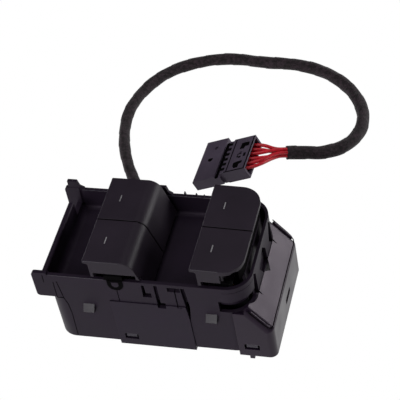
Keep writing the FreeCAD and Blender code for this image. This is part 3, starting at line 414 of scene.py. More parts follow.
class Shop:
    """Every finish of the switch by the name of its material slot."""

    FINISHES = {
        # Fine spark-eroded grain: breaks the lamps up into a dull, even dark grey.
        "housing_plastic": MouldedPlastic("housing_fine_grain", "201924", 0.46, specular=0.12,
                                          tint="f0e0f6"),
        # Satin moulding, smoother than the housing: a soft sheen on the end wall and the ring.
        "cap_plastic": MouldedPlastic("cap_satin", "1b1220", 0.34, grain_mm=0.5, grain_depth=0.08,
                                      specular=0.21, tint="f3def3", edge_mm=0.4),
        # The housing's grain on a slightly paler plastic: the tongues stand out from the walls.
        "cover_plastic": MouldedPlastic("cover_fine_grain", "211a26", 0.44, specular=0.12,
                                        tint="f0e0f6", edge_mm=0.4),
        # Plain matt black: parts under the keys stay in the dark.
        "carrier_plastic": MouldedPlastic("carrier_plain", "080709", 0.6, grain_depth=0.06, specular=0.04),
        # Ground steel: fine lines that draw a bright streak along the pin.
        "pin_steel": Metal("pin_ground_steel", "8d9094", 0.3),
        # Plain black with little gloss: the inner frames hardly show.
        "frame_plastic": MouldedPlastic("frame_plain", "100f12", 0.45, specular=0.15),
        # Solder mask: glossy dark green with faint paler tracks.
        "board_laminate": BoardMask("board_solder_mask", "0d3a1f", "1f5c35"),
        # Pale yellowish moulding: small bright bodies on the board.
        "lamp_body": MouldedPlastic("lamp_moulding", "e6dfb8", 0.3),
        # Polished clear moulding, seen as a pale glossy rod.
        "guide_clear": MouldedPlastic("guide_clear_moulding", "d9dee0", 0.12, grain_depth=0.0),
        # Chip resin: flat grey-black.
        "chip_black": MouldedPlastic("chip_moulding", "18181a", 0.5),
        # Fleece tape: matt black fibres with a pale fuzz in the side light.
        "lead_tape": HarnessTape("harness_fleece_tape", "110b0e", "32262d"),
        # Rubber: dull black with round edges.
        "gland_rubber": MouldedPlastic("gland_rubber", "161618", 0.6, edge_mm=0.35, specular=0.2),
        # Extruded sleeve: strong red with a narrow highlight along each wire.
        "wire_red": WireSleeve("wire_red_sleeve", "d62233", "b81a28"),
        # Connector moulding: a paler violet grey than the switch, as in the photograph.
        "connector_plastic": MouldedPlastic("connector_moulding", "4e4554", 0.4, grain_mm=0.4,
                                            specular=0.15),
        # Soft-touch paint: a broad, faint glow on the rolled edges and flat dark tops.
        "key_plastic": MouldedPlastic("key_soft_touch", "251e28", 0.48, grain_mm=0.22, grain_depth=0.12,
                                      cloud_mm=20.0, edge_mm=0.5, specular=0.16),
        # Marker insert: light grey, so that it reads white on the keys and doesn't burn out.
        "marker_white": MouldedPlastic("marker_insert", "7e7c80", 0.4),
        # Rolled bronze: warm leaf with fine lines.
        "spring_bronze": Metal("spring_rolled_bronze", "b98a4e", 0.25),
        # Undyed moulding: milky white sliders.
        "slider_plastic": MouldedPlastic("slider_natural", "dcdbd4", 0.4),
        # Smoother grain on the ramps: glossier than the wall, and a little paler as painted highlight.
        "ramp_gloss_and_painted_highlight": MouldedPlastic("ramp_painted_highlight_grey", "221c26", 0.38, specular=0.22),
        # Pale, a little glossier grey on edges and tabs: painted highlight in thin light lines round the
        # dark parts.
        "painted_highlight": MouldedPlastic("painted_highlight_grey", "35303a", 0.35, specular=0.3),
        # Black without any gloss: dark joints and the lug's cap, and painted shade in the key gaps, the
        # deck groove, the connector's pockets and on the key skirts.
        "matt_black_and_painted_shade": MouldedPlastic("matt_black_painted_shade_finish", "050405", 0.7, grain_depth=0.0, specular=0.02),
    }

    # Finishes of this script's own pieces, which the record has no slot for.
    OWN = ("ramp_gloss_and_painted_highlight", "painted_highlight", "matt_black_and_painted_shade")

    def __init__(self):
        """Builds every finish once."""
        self.materials = {slot: finish.build() for slot, finish in self.FINISHES.items()}

    def dress_frame(self, frame: dict) -> None:
        """Gives each CAD node the finish of its slot.
        """
        slots = {part["node"]: part["material_slot"] for part in frame["record"]["subparts"]}
        for name, node in frame["nodes"].items():
            node.data.materials.clear()
            node.data.materials.append(self.materials[slots[name]])
            LOG.info("node %s in %s", name, slots[name])
            for face in node.data.polygons:
                face.use_smooth = False


def new_object(name: str, vertices: np.ndarray, faces: list, smooth: bool = True) -> bpy.types.Object:
    """Makes a mesh object from points and faces.

    Args:
        name: Name of the object.
        vertices: One row of x, y and z for each point.
        faces: Point numbers of each face, as a plain list.
        smooth: Whether the faces are shaded smooth.

    Returns:
        The object, linked to the scene.
    """
    mesh = bpy.data.meshes.new(name)
    mesh.from_pydata(vertices.tolist(), [], faces)
    mesh.polygons.foreach_set("use_smooth", [smooth] * len(mesh.polygons))
    mesh.update()
    thing = bpy.data.objects.new(name, mesh)
    bpy.context.scene.collection.objects.link(thing)
    return thing


def nurbs_object(name: str, route: list, resolution: int) -> bpy.types.Object:
    """Draws a quadratic NURBS spline with a route's points as its control points.

    Args:
        name: Name of the curve.
        route: Control points.
        resolution: Points for each control point.

    Returns:
        The curve, linked to the scene.
    """
    curve = bpy.data.curves.new(name, "CURVE")
    curve.dimensions = "3D"
    spline = curve.splines.new("NURBS")
    spline.points.add(len(route) - 1)
    for point, place in zip(spline.points, route):
        point.co = (*place, 1.0)
    spline.order_u = 3
    spline.use_endpoint_u = True
    spline.resolution_u = resolution
    thing = bpy.data.objects.new(name, curve)
    bpy.context.scene.collection.objects.link(thing)
    return thing


def spline_points(name: str, route: list, resolution: int) -> np.ndarray:
    """Reads evenly spread points from the spline of a route.

    Args:
        name: Name for the helper curve.
        route: Control points.
        resolution: Points for each control point.

    Returns:
        One row for each point.
    """
    helper = nurbs_object(name, route, resolution)
    curve = helper.data
    mesh = bpy.data.meshes.new_from_object(helper)
    points = np.empty(len(mesh.vertices) * 3)
    mesh.vertices.foreach_get("co", points)
    bpy.data.objects.remove(helper)
    bpy.data.curves.remove(curve)
    bpy.data.meshes.remove(mesh)
    return points.reshape(-1, 3)


def run_lengths(points: np.ndarray) -> np.ndarray:
    """Measures how far each point lies along its line.

    Args:
        points: Points of the line.

    Returns:
        Length from the first point to each point.
    """
    return np.concatenate([[0.0], np.cumsum(np.linalg.norm(np.diff(points, axis=0), axis=1))])


def resample(points: np.ndarray, step: float) -> np.ndarray:
    """Spreads points evenly along a line.

    Args:
        points: Points of the line.
        step: Distance wanted between points.

    Returns:
        Evenly spread points with the same ends.
    """
    lengths = run_lengths(points)
    count = max(2, int(round(lengths[-1] / step)) + 1)
    wanted = np.linspace(0.0, lengths[-1], count)
    return np.column_stack([np.interp(wanted, lengths, points[:, i]) for i in range(3)])


def travelling_frames(points: np.ndarray) -> tuple[np.ndarray, np.ndarray, np.ndarray]:
    """Finds directions along a line that never twist.

    Args:
        points: Points of the line.

    Returns:
        The tangents and two side directions at each point.
    """
    tangents = np.gradient(points, axis=0)
    tangents /= np.linalg.norm(tangents, axis=1)[:, None]
    first = np.cross(tangents[0], (0.0, 0.0, 1.0))
    sides = [first / np.linalg.norm(first)]
    for tangent in tangents[1:]:
        side = sides[-1] - tangent * (sides[-1] @ tangent)
        sides.append(side / np.linalg.norm(side))
    sides = np.array(sides)
    return tangents, sides, np.cross(tangents, sides)


def tube_object(name: str, points: np.ndarray, radii: np.ndarray, segments: int,
                lowest: float = -1.0) -> bpy.types.Object:
    """Skins a line with a round tube whose radius varies over its surface.

    Point (i, j) is line point i plus radius (i, j) times the side direction turned by j steps of
    the full turn. Each face joins (i, j), (i, j + 1), (i + 1, j + 1) and (i + 1, j).

    Args:
        name: Name of the object.
        points: Points of the line.
        radii: Radius for each point and each segment.
        segments: Number of points round the tube.
        lowest: Height that the skin is pressed flat at, as soft tape is on a floor.

    Returns:
        The closed tube, with its length and turn as UV coordinates in metres.
    """
    _, side, up = travelling_frames(points)
    angles = np.linspace(0.0, 2 * math.pi, segments, endpoint=False)
    across, above = np.cos(angles)[None, :, None], np.sin(angles)[None, :, None]
    skin = points[:, None, :] + (side[:, None, :] * across + up[:, None, :] * above) * radii[:, :, None]
    skin[:, :, 2] = np.maximum(skin[:, :, 2], lowest)
    index = np.arange(len(points) * segments).reshape(len(points), segments)
    after = np.roll(index, -1, axis=1)
    quads = np.stack([index[:-1], after[:-1], after[1:], index[1:]], axis=-1).reshape(-1, 4)
    faces = [*quads.tolist(), index[0, ::-1].tolist(), index[-1].tolist()]
    thing = new_object(name, skin.reshape(-1, 3), faces)
    corners = np.empty(len(thing.data.loops), dtype=np.int32)
    thing.data.loops.foreach_get("vertex_index", corners)
    along = run_lengths(points)[corners // segments]
    spread = np.column_stack([along, corners % segments / segments * TURN_LENGTH])
    thing.data.uv_layers.new(name="along").data.foreach_set("uv", spread.ravel())
    return thing


def bead_object(name: str, route_mm: list, radius_mm: float, segments: int = 12,
                step_mm: float = 0.5) -> bpy.types.Object:
    """Lays a round bead along a route of straight runs.

    Args:
        name: Name of the object.
        route_mm: Corner points of the route.
        radius_mm: Radius of the bead.
        segments: Number of points round the bead.
        step_mm: Distance between the points along it.

    Returns:
        The bead.
    """
    points = resample(np.array(route_mm, float) * MM, step_mm * MM)
    return tube_object(name, points, np.full((len(points), segments), radius_mm * MM), segments)


def prism_object(name: str, outline_mm: list | np.ndarray, low_mm: float, high_mm: float,
                 basis: np.ndarray = np.eye(3), origin_mm: tuple = (0.0, 0.0, 0.0)) -> bpy.types.Object:
    """Extrudes a flat outline.

    Point k of the outline is taken to the low and to the high end, each as the basis times
    (a, b, end) plus the origin. Each side face joins points k and k + 1 of both ends.

    Args:
        name: Name of the object.
        outline_mm: Corners of the outline in its own plane.
        low_mm: Where the extrusion starts along the third axis.
        high_mm: Where it ends.
        basis: Columns that take the outline's axes and the extrusion's to the row frame.
        origin_mm: Where the outline's origin lies.

    Returns:
        The closed prism with its faces outward.
    """
    flat = np.array(outline_mm, float)
    step = np.roll(flat, -1, axis=0)
    area = float((flat[:, 0] * step[:, 1] - step[:, 0] * flat[:, 1]).sum())
    if area * np.linalg.det(basis) < 0:
        flat = flat[::-1]
    count = len(flat)
    ends = [np.column_stack([flat, np.full(count, end)]) for end in (low_mm, high_mm)]
    places = (np.vstack(ends) @ basis.T + np.array(origin_mm)) * MM
    low = np.arange(count)
    after = np.roll(low, -1)
    sides = np.column_stack([low, after, after + count, low + count])
    faces = [*sides.tolist(), low[::-1].tolist(), (low + count).tolist()]
    return new_object(name, places, faces, smooth=False)


def box_outline(a0: float, b0: float, a1: float, b1: float) -> list:
    """Gives the corners of a rectangle.

    Args:
        a0: Lowest first coordinate.
        b0: Lowest second coordinate.
        a1: Highest first coordinate.
        b1: Highest second coordinate.

    Returns:
        The four corners.
    """
    return [(a0, b0), (a1, b0), (a1, b1), (a0, b1)]


def arch_outline(middle: float, foot: float, head: float, radius: float, steps: int = 20) -> np.ndarray:
    """Gives a U outline with a round foot and a flat head.

    Args:
        middle: First coordinate of the middle.
        foot: Second coordinate of the arc's centre.
        head: Second coordinate of the flat head.
        radius: Radius of the arc and half the width.
        steps: Points on the arc.

    Returns:
        One row for each corner.
    """
    turn = np.linspace(math.pi, 2 * math.pi, steps)
    arc = np.column_stack([middle + radius * np.cos(turn), foot + radius * np.sin(turn)])
    return np.vstack([arc, [(middle + radius, head), (middle - radius, head)]])


@dataclass
class TapedLead:
    """The harness lead: wires wrapped in overlapping turns of fleece tape.

    Attributes:
        diameter: Mean thickness of the wrapped lead.
        growth: How much thicker it is at the connector than at the switch.
        neck: Thickness at the gland.
        pitch: Advance of the tape in one turn.
        lap: Step at the tape's edge.
        lump: Height of the lumps.
        climb: Share of a turn over which the step rises.
        swell: Length over which the neck grows to the full thickness.
        pressed: Height that the underside is flattened at.
    """

    diameter: float = 6.2 * MM
    growth: float = 1.2 * MM
    neck: float = 5.2 * MM
    pitch: float = 9.5 * MM
    lap: float = 0.2 * MM
    lump: float = 0.26 * MM
    climb: float = 0.08
    swell: float = 22.0 * MM
    pressed: float = 0.05 * MM
    segments: int = 28
    step: float = 0.55 * MM
    fineness: int = 24
    # Length in mm, turns round the lead and phase of each wave of lumps.
    waves: tuple = ((6.1, 3.0, 0.0), (3.7, -2.0, 1.3), (13.0, 1.0, 0.4))
    route_mm: list = field(default_factory=lambda: [
        (-26.0, 34.25, 10.2), (-26.0, 42.0, 10.2), (-27.4, 52.5, 5.2), (-33.0, 64.0, 2.65),
        (-42.5, 77.0, 2.65), (-50.6, 93.5, 2.65), (-56.2, 111.0, 2.65), (-57.2, 128.0, 2.65),
        (-52.2, 145.0, 2.65), (-41.0, 159.5, 2.65), (-26.0, 167.8, 2.65), (-9.5, 170.6, 2.65),
        (8.0, 168.4, 2.65), (25.5, 167.8, 2.65), (42.5, 163.0, 2.65), (57.0, 151.8, 2.65),
        (66.6, 136.0, 2.65), (68.6, 120.5, 2.65), (62.6, 107.2, 3.0), (51.6, 99.4, 5.0),
        (42.0, 97.0, 7.6), (35.0, 94.2, 9.4),
    ])

    def build(self) -> tuple[bpy.types.Object, np.ndarray]:
        """Winds the tape along the route.

        The tape's edge goes once round for each pitch. The radius climbs over a small share of
        the turn at that edge and falls back over the rest, and slow waves add the lumps of the
        wires beneath. The bundle starts as thin as the gland, swells, and grows on towards the
        connector.

        Returns:
            The lead and the points that it follows.
        """
        route = [tuple(c * MM for c in point) for point in self.route_mm]
        points = resample(spline_points("lead_line", route, self.fineness), self.step)
        along = np.arange(len(points)) * self.step
        angle = np.linspace(0.0, 1.0, self.segments, endpoint=False)
        turns = (along[:, None] / self.pitch + angle[None, :]) % 1.0
        fall = 1.0 - (turns - self.climb) / (1.0 - self.climb)
        edge = np.where(turns < self.climb, turns / self.climb, fall)
        lumps = sum(np.sin(along[:, None] / (length * MM) + count * angle[None, :] * 2 * math.pi + phase)
                    for length, count, phase in self.waves)
        body = self.diameter + self.growth * (along / along[-1] - 0.5)
        girth = self.neck + (body - self.neck) * np.clip(along / self.swell, 0.0, 1.0) ** 0.7
        radii = girth[:, None] / 2 - self.lap / 2 + self.lap * edge + self.lump / len(self.waves) * lumps
        return tube_object("taped_lead", points, radii, self.segments, lowest=self.pressed), points

    def dress(self, thing: bpy.types.Object, shop: Shop) -> None:
        """Gives the lead its tape.

        Args:
            thing: The lead.
            shop: The finishes.
        """
        thing.data.materials.append(shop.materials["lead_tape"])


@dataclass
class WireFan:
    """Six red wires from the end of the tape to the connector.

    Attributes:
        diameter: Thickness of a wire.
        ring: Radius of the circle on which the wires leave the tape.
        ranks: Place of each wire in the connector, counted from the near side.
        pitch: Distance between two places.
        first: Distance of the first place from the near side.
        first_angle: Degrees round the ring at which the first wire leaves.
        tuck: Length hidden in the tape.
        straight: Length before a wire bends off.
        tilt: How far the connector's rear is raised.
        turn: How far the connector is turned on the floor.
    """

    diameter: float = 1.85 * MM
    ring: float = 1.9 * MM
    ranks: tuple[int, ...] = (5, 3, 1, 0, 2, 4)
    pitch: float = 3.4 * MM
    first: float = 3.9 * MM
    first_angle: float = 20.0
    tuck: float = 2.0 * MM
    straight: float = 5.5 * MM
    fineness: int = 16
    # Depth in the connector, step aside and height of each wire's last two control points.
    entry_mm: tuple = ((32.5, 1.2, 2.2), (25.5, 0.0, 4.2))
    tilt: float = math.radians(23.0)
    turn: float = math.radians(-2.8)

    def connector_basis(self) -> Matrix:
        """Gives the axes of the connector, which stands on its nose with its rear raised.

        Returns:
            Matrix from the connector's own axes to the row frame.
        """
        return Matrix.Rotation(self.turn, 3, "Z") @ Matrix.Rotation(-self.tilt, 3, "Y")

    def connector_point(self, depth: float, across: float, height: float) -> Vector:
        """Places a point of the tilted connector.

        Args:
            depth: Distance from the nose.
            across: Distance from the near side.
            height: Distance from the underside.

        Returns:
            The point in the row frame.
        """
        nose = Vector([c * MM for c in CONNECTOR_MM])
        return nose + self.connector_basis() @ Vector((depth, across, height))

    def build(self, end: np.ndarray, before: np.ndarray) -> list[bpy.types.Object]:
        """Draws the wires as bevelled splines.

        Args:
            end: Where the tape ends.
            before: A point of the lead just before its end.

        Returns:
            One curve for each wire.
        """
        tip = Vector(end)
        along = (tip - Vector(before)).normalized()
        side = along.cross(Vector((0, 0, 1))).normalized()
        up = side.cross(along)
        wires = []
        for number, rank in enumerate(self.ranks):
            angle = math.radians(360 / len(self.ranks) * number + self.first_angle)
            start = tip + (side * math.cos(angle) + up * math.sin(angle)) * self.ring
            across = self.first + self.pitch * rank
            route = [start - along * self.tuck, start, start + along * self.straight]
            route += [self.connector_point(depth * MM, across + aside * MM, height * MM)
                      for depth, aside, height in self.entry_mm]
            wires.append(self.wire(f"red_wire_{number + 1}", route))
        return wires

    def wire(self, name: str, route: list[Vector]) -> bpy.types.Object:
        """Draws one wire.

        Args:
            name: Name of the wire.
            route: Control points.

        Returns:
            The bevelled curve.
        """
        thing = nurbs_object(name, route, self.fineness)
        thing.data.bevel_depth = self.diameter / 2
        thing.data.bevel_resolution = 5
        thing.data.use_fill_caps = True
        return thing

    def dress(self, wires: list[bpy.types.Object], shop: Shop) -> None:
        """Gives the wires their sleeves.

        Args:
            wires: The wires.
            shop: The finishes.
        """
        for wire in wires:
            wire.data.materials.append(shop.materials["wire_red"])


@dataclass
class Harness:
    """The lead, its wires and the connector as one free cord."""

    lead: TapedLead = field(default_factory=TapedLead)
    fan: WireFan = field(default_factory=WireFan)

    def build(self, shop: Shop) -> None:
        """Args:
            shop: The finishes.
        """
        cord, points = self.lead.build()
        self.lead.dress(cord, shop)
        # The last five steps of the tape give the direction in which the wires leave it.
        wires = self.fan.build(points[-1], points[-6])
        self.fan.dress(wires, shop)
        for piece in (cord, *wires):
            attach(piece, "base")
            LOG.info("piece %s on base", piece.name)
        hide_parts("harness_lead")
        for wire in wires:
            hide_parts("connector_wires")


@dataclass
class Trim:
    """Small fixed pieces that the moulded solids leave out, and beads and plates of painted highlight and
    shade.

    Outlines and routes are in mm of the row frame, and the connector's plates in mm of the
    connector. A front piece is mirrored to the rear by the sign of y.
    """

    shop: Shop
    pieces: list[bpy.types.Object] = field(default_factory=list)
    rows: tuple = ((-1, "front"), (1, "rear"))

    def keep(self, thing: bpy.types.Object, finish: str, body: str = "base") -> None:
        """Dresses one piece and fixes it to a body of the switch.

        Args:
            thing: The piece.
            finish: Name of its finish, which is a material slot except for the scene's own.
            body: CAD body that carries the piece.
        """
        thing.data.materials.append(self.shop.materials[finish])
        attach(thing, body)
        self.pieces.append(thing)
        LOG.info("piece %s on %s", thing.name, body)

    def snap_tabs(self) -> None:
        """Sets the tabs in the snap windows, pale as painted highlight, with a dark root behind the end
        cap's two.
        """
        window = box_outline(38.6, 5.6, 46.9, 11.0)
        for side, row in self.rows:
            depths = sorted((side * 26.45, side * 25.9))
            root = prism_object(f"{row}_snap_root", window, *depths, basis=FRONTAL)
            self.keep(root, "carrier_plastic")
            profile = [(7.6, side * 26.4), (7.6, side * 27.4), (7.9, side * 27.5), (9.45, side * 27.17),
                       (9.45, side * 26.4)]
            for name, low, high in (("end", 40.2, 45.3), ("tongue", -15.5, -10.7)):
                self.keep(prism_object(f"{row}_{name}_tab", profile, low, high, SIDEWAYS), "painted_highlight")

    def ramp_faces(self) -> None:
        """Skins the sloped faces of the snap ramps in a glossier grey, painted a little paler as highlight.
        """
        half = 2.6
        for side, row in self.rows:
            skin = [(25.2, side * 29.8), (25.24, side * 29.88), (28.46, side * 27.31), (28.4, side * 27.2)]
            for name, middle in (("left", -29.7), ("right", 26.85)):
                ends = (middle - half, middle + half)
                face = prism_object(f"{row}_{name}_ramp_face", skin, *ends, SIDEWAYS)
                self.keep(face, "ramp_gloss_and_painted_highlight")

    def plate_edges(self) -> None:
        """Rounds the upright left edges of the tongue and the end cap with pale beads: painted highlight
        where they catch the light.
        """
        front, radius = -27.56, 0.2
        for name, x, head, foot in (("tongue_edge", -19.12, 29.6, 5.2), ("cap_edge", 36.58, 26.4, 5.4)):
            route = [(x, front, head), (x, front, foot)]
            self.keep(bead_object(name, route, radius, 10), "painted_highlight")

    def deck_edges(self) -> None:
        """Rolls the lip along the deck's two slanted edges and sets the dark seam beside it: a black bead
        painted as the shade in the groove.
        """
        lip_radius, seam_radius = 0.7, 0.24
        for side, row in self.rows:
            lip = [(44.0, side * 26.6, 31.4), (50.8, side * 26.6, 22.65), (51.6, side * 26.2, 21.6)]
            self.keep(bead_object(f"{row}_deck_lip", lip, lip_radius), "cap_plastic")
            seam = [(43.7, side * 27.45, 32.2), (49.6, side * 27.45, 24.6), (51.3, side * 27.2, 22.4),
                    (52.4, side * 26.3, 21.0), (52.85, side * 25.0, 20.4), (52.85, 0.0, 20.4)]
            self.keep(bead_object(f"{row}_deck_seam", seam, seam_radius), "matt_black_and_painted_shade")

    def key_edges(self) -> None:
        """Rounds the keys' left lips and front edges with pale beads: painted highlight along the edges."""
        crown, radius = 57.0, 0.13
        for side, left, right, fall in (("left", -27.2, -10.4, 0.03), ("right", 20.9, 33.6, 0.32)):
            for row, near, far in (("front", -27.1, -2.3), ("rear", -1.6, 23.4)):
                body = f"{row}_{side}_rocker"
                lip = [(left, near, crown), (left, far, crown)]
                self.keep(bead_object(f"{row}_{side}_key_lip", lip, radius, 8), "painted_highlight", body)
                if row == "front":
                    edge = [(left + 0.2, near, crown + 0.03), (right, near, crown - fall)]
                    self.keep(bead_object(f"{side}_key_front_edge", edge, radius, 8), "painted_highlight", body)

    def key_seams(self) -> None:
        """Faces each front key's inner end with a dark plate, painted shade that makes its pair's seam read
        black.
        """
        sunk, proud = -2.4, -1.98
        ends = {
            "left": [(-27.1, 55.9), (-25.3, 55.6), (-24.8, 50.0), (-5.2, 50.5), (-1.9, 38.7), (-0.1, 38.7),
                     (-4.64, 53.22), (-5.08, 54.1), (-5.67, 54.9), (-6.36, 55.6), (-7.15, 56.19),
                     (-8.02, 56.64), (-9.44, 57.04), (-10.42, 57.12), (-27.0, 57.12)],
            "right": [(21.0, 55.9), (23.6, 55.2), (24.2, 50.0), (41.9, 50.0), (41.95, 54.3), (42.9, 54.9),
                      (43.2, 56.42), (33.75, 56.72), (21.1, 57.11)],
        }
        for side, outline in ends.items():
            plate = prism_object(f"{side}_key_seam", outline, sunk, proud, FRONTAL)
            self.keep(plate, "matt_black_and_painted_shade", f"front_{side}_rocker")

    def key_skirts(self) -> None:
        """Bands the outer skirts of the right pair in black: painted shade below the lit lip."""
        centre, radius, proud, sunk = (33.75, -17.55), 8.3, 0.08, 0.05
        low, high, mirror = 47.2, 54.2, -3.6
        turn = np.radians(np.linspace(-33.0, 0.0, 10))
        arc = np.column_stack([np.cos(turn), np.sin(turn)])
        for row, flip, shift, end in (("front", 1, 0.0, -2.25), ("rear", -1, mirror, -2.0)):
            outer, inner = (np.vstack([arc * reach + centre, [(centre[0] + reach, end)]])
                            for reach in (radius + proud, radius - sunk))
            ring = np.vstack([outer, inner[::-1]]) * (1, flip) + (0, shift)
            skirt = prism_object(f"{row}_right_key_skirt", ring, low, high)
            self.keep(skirt, "matt_black_and_painted_shade", f"{row}_right_rocker")

    def rim_edges(self) -> None:
        """Rounds the tray's rim with a pale bead: painted highlight where it catches the light."""
        rim, radius = 45.58, 0.14
        for name, low, high, y in (("front_rim", -45.5, -19.4, -27.15), ("rear_rim", -45.0, 20.0, 25.55)):
            self.keep(bead_object(name, [(low, y, rim), (high, y, rim)], radius, 8), "painted_highlight")

    def pivot_lug(self) -> None:
        """Closes the notch of the front wall round the visible pivot lug and caps the lug."""
        middle, axis, rim, head = -14.55, 43.2, 45.6, 48.4
        layers = (
            ("notch_collar", arch_outline(middle, axis, rim, 4.1), (-27.25, -26.4), "housing_plastic"),
            ("lug_cap", arch_outline(middle, axis, rim + 0.1, 3.6), (-27.5, -27.2), "matt_black_and_painted_shade"),
            ("lug_face", arch_outline(middle, axis + 0.1, rim - 0.9, 1.6), (-27.62, -27.45),
             "housing_plastic"),
            ("lug_head", box_outline(middle - 4.6, rim + 0.1, middle + 3.9, head), (-27.3, -26.6),
             "matt_black_and_painted_shade"),
        )
        for name, outline, ends, finish in layers:
            self.keep(prism_object(name, outline, *ends, FRONTAL), finish)

    def corner_seams(self) -> None:
        """Draws the fine joints of the front wall's left corner, beside the flap and the tongue."""
        face, radius = -27.25, 0.17
        joints = {
            "corner_joint": [(-44.0, 41.1), (-44.2, 30.8), (-41.1, 30.8), (-39.9, 26.7), (-39.4, 20.6),
                             (-39.8, 5.2)],
            "corner_rib": [(-42.3, 41.7), (-41.7, 36.5), (-41.1, 30.8)],
            "wing_joint": [(-48.3, 45.2), (-48.4, 40.6)],
            "flap_joint": [(-19.0, 31.8), (-16.5, 31.8)],
        }
        for name, route in joints.items():
            self.keep(bead_object(name, [(x, face, z) for x, z in route], radius, 8), "matt_black_and_painted_shade")

    def connector_painted_shade_and_seams(self) -> None:
        """Lays black plates as painted shade on the floors of the connector's slots, pockets, key hole and
        channel, and sets its dark seams.
        """
        basis = np.array(WireFan().connector_basis())
        slot, pocket, seam = (4.85, 6.64), (6.5, 7.02), (6.9, 7.03)
        first, pitch, width = 2.91, 3.55, 1.88
        slots = [("contact_slot", box_outline(15.4, near, 18.95, near + width), slot)
                 for near in (first + pitch * number for number in range(6))]
        plates = [
            *slots,
            ("far_pocket", [(24.4, 16.0), (26.8, 15.8), (27.4, 17.4), (29.4, 17.5), (29.2, 20.1),
                            (24.7, 20.1)], pocket),
            ("near_pocket", [(23.6, 4.0), (24.6, 2.5), (26.8, 2.6), (26.6, 4.7), (28.6, 5.4), (28.4, 7.2),
                             (23.6, 6.4)], pocket),
            ("square_pocket", box_outline(24.2, 10.0, 26.5, 12.5), pocket),
            ("slim_pocket", box_outline(27.8, 9.9, 29.2, 12.4), pocket),
            ("channel_floor", box_outline(13.45, -0.2, 15.0, 24.9), (5.0, 5.2)),
            ("retainer_seam", box_outline(20.3, 0.6, 20.95, 23.7), seam),
            ("near_seam", box_outline(19.3, 0.55, 31.0, 1.25), seam),
            ("rear_gap", box_outline(30.55, 1.0, 31.38, 23.5), seam),
            ("key_hole", arch_outline(6.7, 14.3, 15.2, 1.35), (5.9, 6.03)),
        ]
        for number, (name, outline, ends) in enumerate(plates, 1):
            plate = prism_object(f"{name}_{number}", outline, *ends, basis, CONNECTOR_MM)
            self.keep(plate, "matt_black_and_painted_shade")
        post = prism_object("square_post", box_outline(24.8, 10.6, 26.6, 11.9), 6.6, 7.06, basis,
                            CONNECTOR_MM)
        self.keep(post, "connector_plastic")

    def build(self) -> None:
        """Builds every piece."""
        for make in (self.snap_tabs, self.ramp_faces, self.plate_edges, self.key_edges, self.key_seams,
                     self.key_skirts, self.rim_edges, self.deck_edges, self.pivot_lug, self.corner_seams,
                     self.connector_painted_shade_and_seams):
            make()
        LOG.info("trim pieces %d", len(self.pieces))


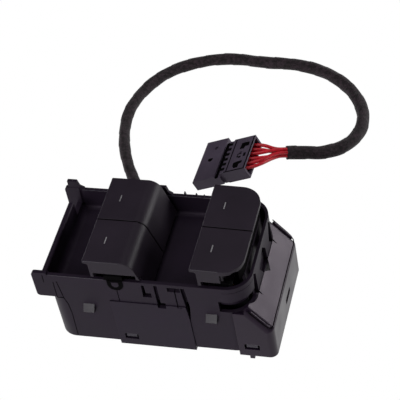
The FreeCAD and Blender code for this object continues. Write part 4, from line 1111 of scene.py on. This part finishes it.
@dataclass
class Studio:
    """Camera, lamps, world and floor, with the camera's angles in degrees."""

    azimuth: float = 21.55
    elevation: float = 44.94
    roll: float = -11.695
    eye_mm: tuple[float, float, float] = (187.351, -419.525, 521.652)
    focal_px: float = 1487.4
    image_px: float = 400.0
    sensor_mm: float = 36.0
    clip: tuple[float, float] = (0.02, 10.0)
    ambient: float = 0.35
    floor_half: float = 3.0
    floor_drop: float = 0.2 * MM
    # Name, place, aim, side length and watts of each soft box.
    boxes: tuple = (
        ("top_box", (0.05, 0.12, 0.95), (0.0, 0.03, 0.0), 0.9, 3.4),
        ("front_box", (-0.30, -0.92, 0.56), (0.0, 0.0, 0.02), 0.5, 6.5),
        ("back_right_box", (0.86, 0.75, 0.20), (0.0, 0.0, 0.02), 0.5, 7.6),
        ("left_box", (-0.9, -0.25, 0.55), (0.0, 0.03, 0.02), 0.6, 2.6),
    )

    def build(self) -> None:
        """Sets up the whole studio."""
        self.add_camera()
        self.add_lamps()
        self.add_world()
        self.add_floor()
        bpy.context.scene.view_settings.view_transform = "Standard"

    def add_camera(self) -> None:
        """Puts the camera where the photograph was taken from."""
        azimuth, elevation, roll = (math.radians(a) for a in (self.azimuth, self.elevation, self.roll))
        forward = Vector((-math.sin(azimuth) * math.cos(elevation), math.cos(azimuth) * math.cos(elevation),
                          -math.sin(elevation)))
        level = Vector((math.cos(azimuth), math.sin(azimuth), 0.0))
        above = level.cross(forward)
        right = math.cos(roll) * level + math.sin(roll) * above
        up = right.cross(forward)
        lens = bpy.data.cameras.new("camera")
        lens.sensor_width = self.sensor_mm
        lens.lens = self.focal_px / self.image_px * self.sensor_mm
        lens.clip_start, lens.clip_end = self.clip
        camera = bpy.data.objects.new("camera", lens)
        turn = Matrix((right, up, -forward)).transposed().to_4x4()
        camera.matrix_world = Matrix.Translation(Vector(self.eye_mm) * MM) @ turn
        bpy.context.scene.collection.objects.link(camera)
        bpy.context.scene.camera = camera

    def add_lamps(self) -> None:
        """Hangs the soft boxes round the switch."""
        for name, place, aim, size, power in self.boxes:
            light = bpy.data.lights.new(name, "AREA")
            light.shape = "SQUARE"
            light.size = size
            light.energy = power
            lamp = bpy.data.objects.new(name, light)
            lamp.location = place
            lamp.rotation_euler = (Vector(aim) - Vector(place)).to_track_quat("-Z", "Y").to_euler()
            bpy.context.scene.collection.objects.link(lamp)

    def add_world(self) -> None:
        """Fills the studio with pale light, white where the camera or a gloss sees it."""
        world = bpy.data.worlds.new("studio")
        world.use_nodes = True
        tree = world.node_tree
        tree.nodes.clear()
        board = NodeBoard.for_tree(tree)
        end = board.add("ShaderNodeOutputWorld")
        soft = board.add("ShaderNodeBackground", Strength=self.ambient)
        white = board.add("ShaderNodeBackground", Color=(1.0, 1.0, 1.0, 1.0))
        mix = board.add("ShaderNodeMixShader", n0=board.direct_view(), n1=soft.outputs[0],
                        n2=white.outputs[0])
        tree.links.new(mix.outputs[0], end.inputs[0])

    def add_floor(self) -> None:
        """Lays a matt floor that lights the switch from below and shows white to the camera."""
        half = self.floor_half
        outline = box_outline(-half, -half, half, half)
        corners = np.array([(*corner, -self.floor_drop) for corner in outline])
        floor = new_object("floor", corners, [(0, 1, 2, 3)], smooth=False)
        board = NodeBoard("floor_white")
        matt = board.add("ShaderNodeBsdfDiffuse", Color=linear("f4f4f4"))
        white = board.add("ShaderNodeEmission", Color=(1.0, 1.0, 1.0, 1.0), Strength=1.0)
        mix = board.add("ShaderNodeMixShader", n0=board.direct_view(), n1=matt.outputs[0],
                        n2=white.outputs[0])
        board.tree.links.new(mix.outputs[0], board.output.inputs[0])
        floor.data.materials.append(board.material)


def main() -> None:
    """Builds the dressed switch and its studio."""
    logging.basicConfig(level=logging.INFO)
    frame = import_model()
    Studio().build()
    shop = Shop()
    shop.dress_frame(frame)
    Harness().build(shop)
    Trim(shop).build()


if __name__ == "__main__":
    main()
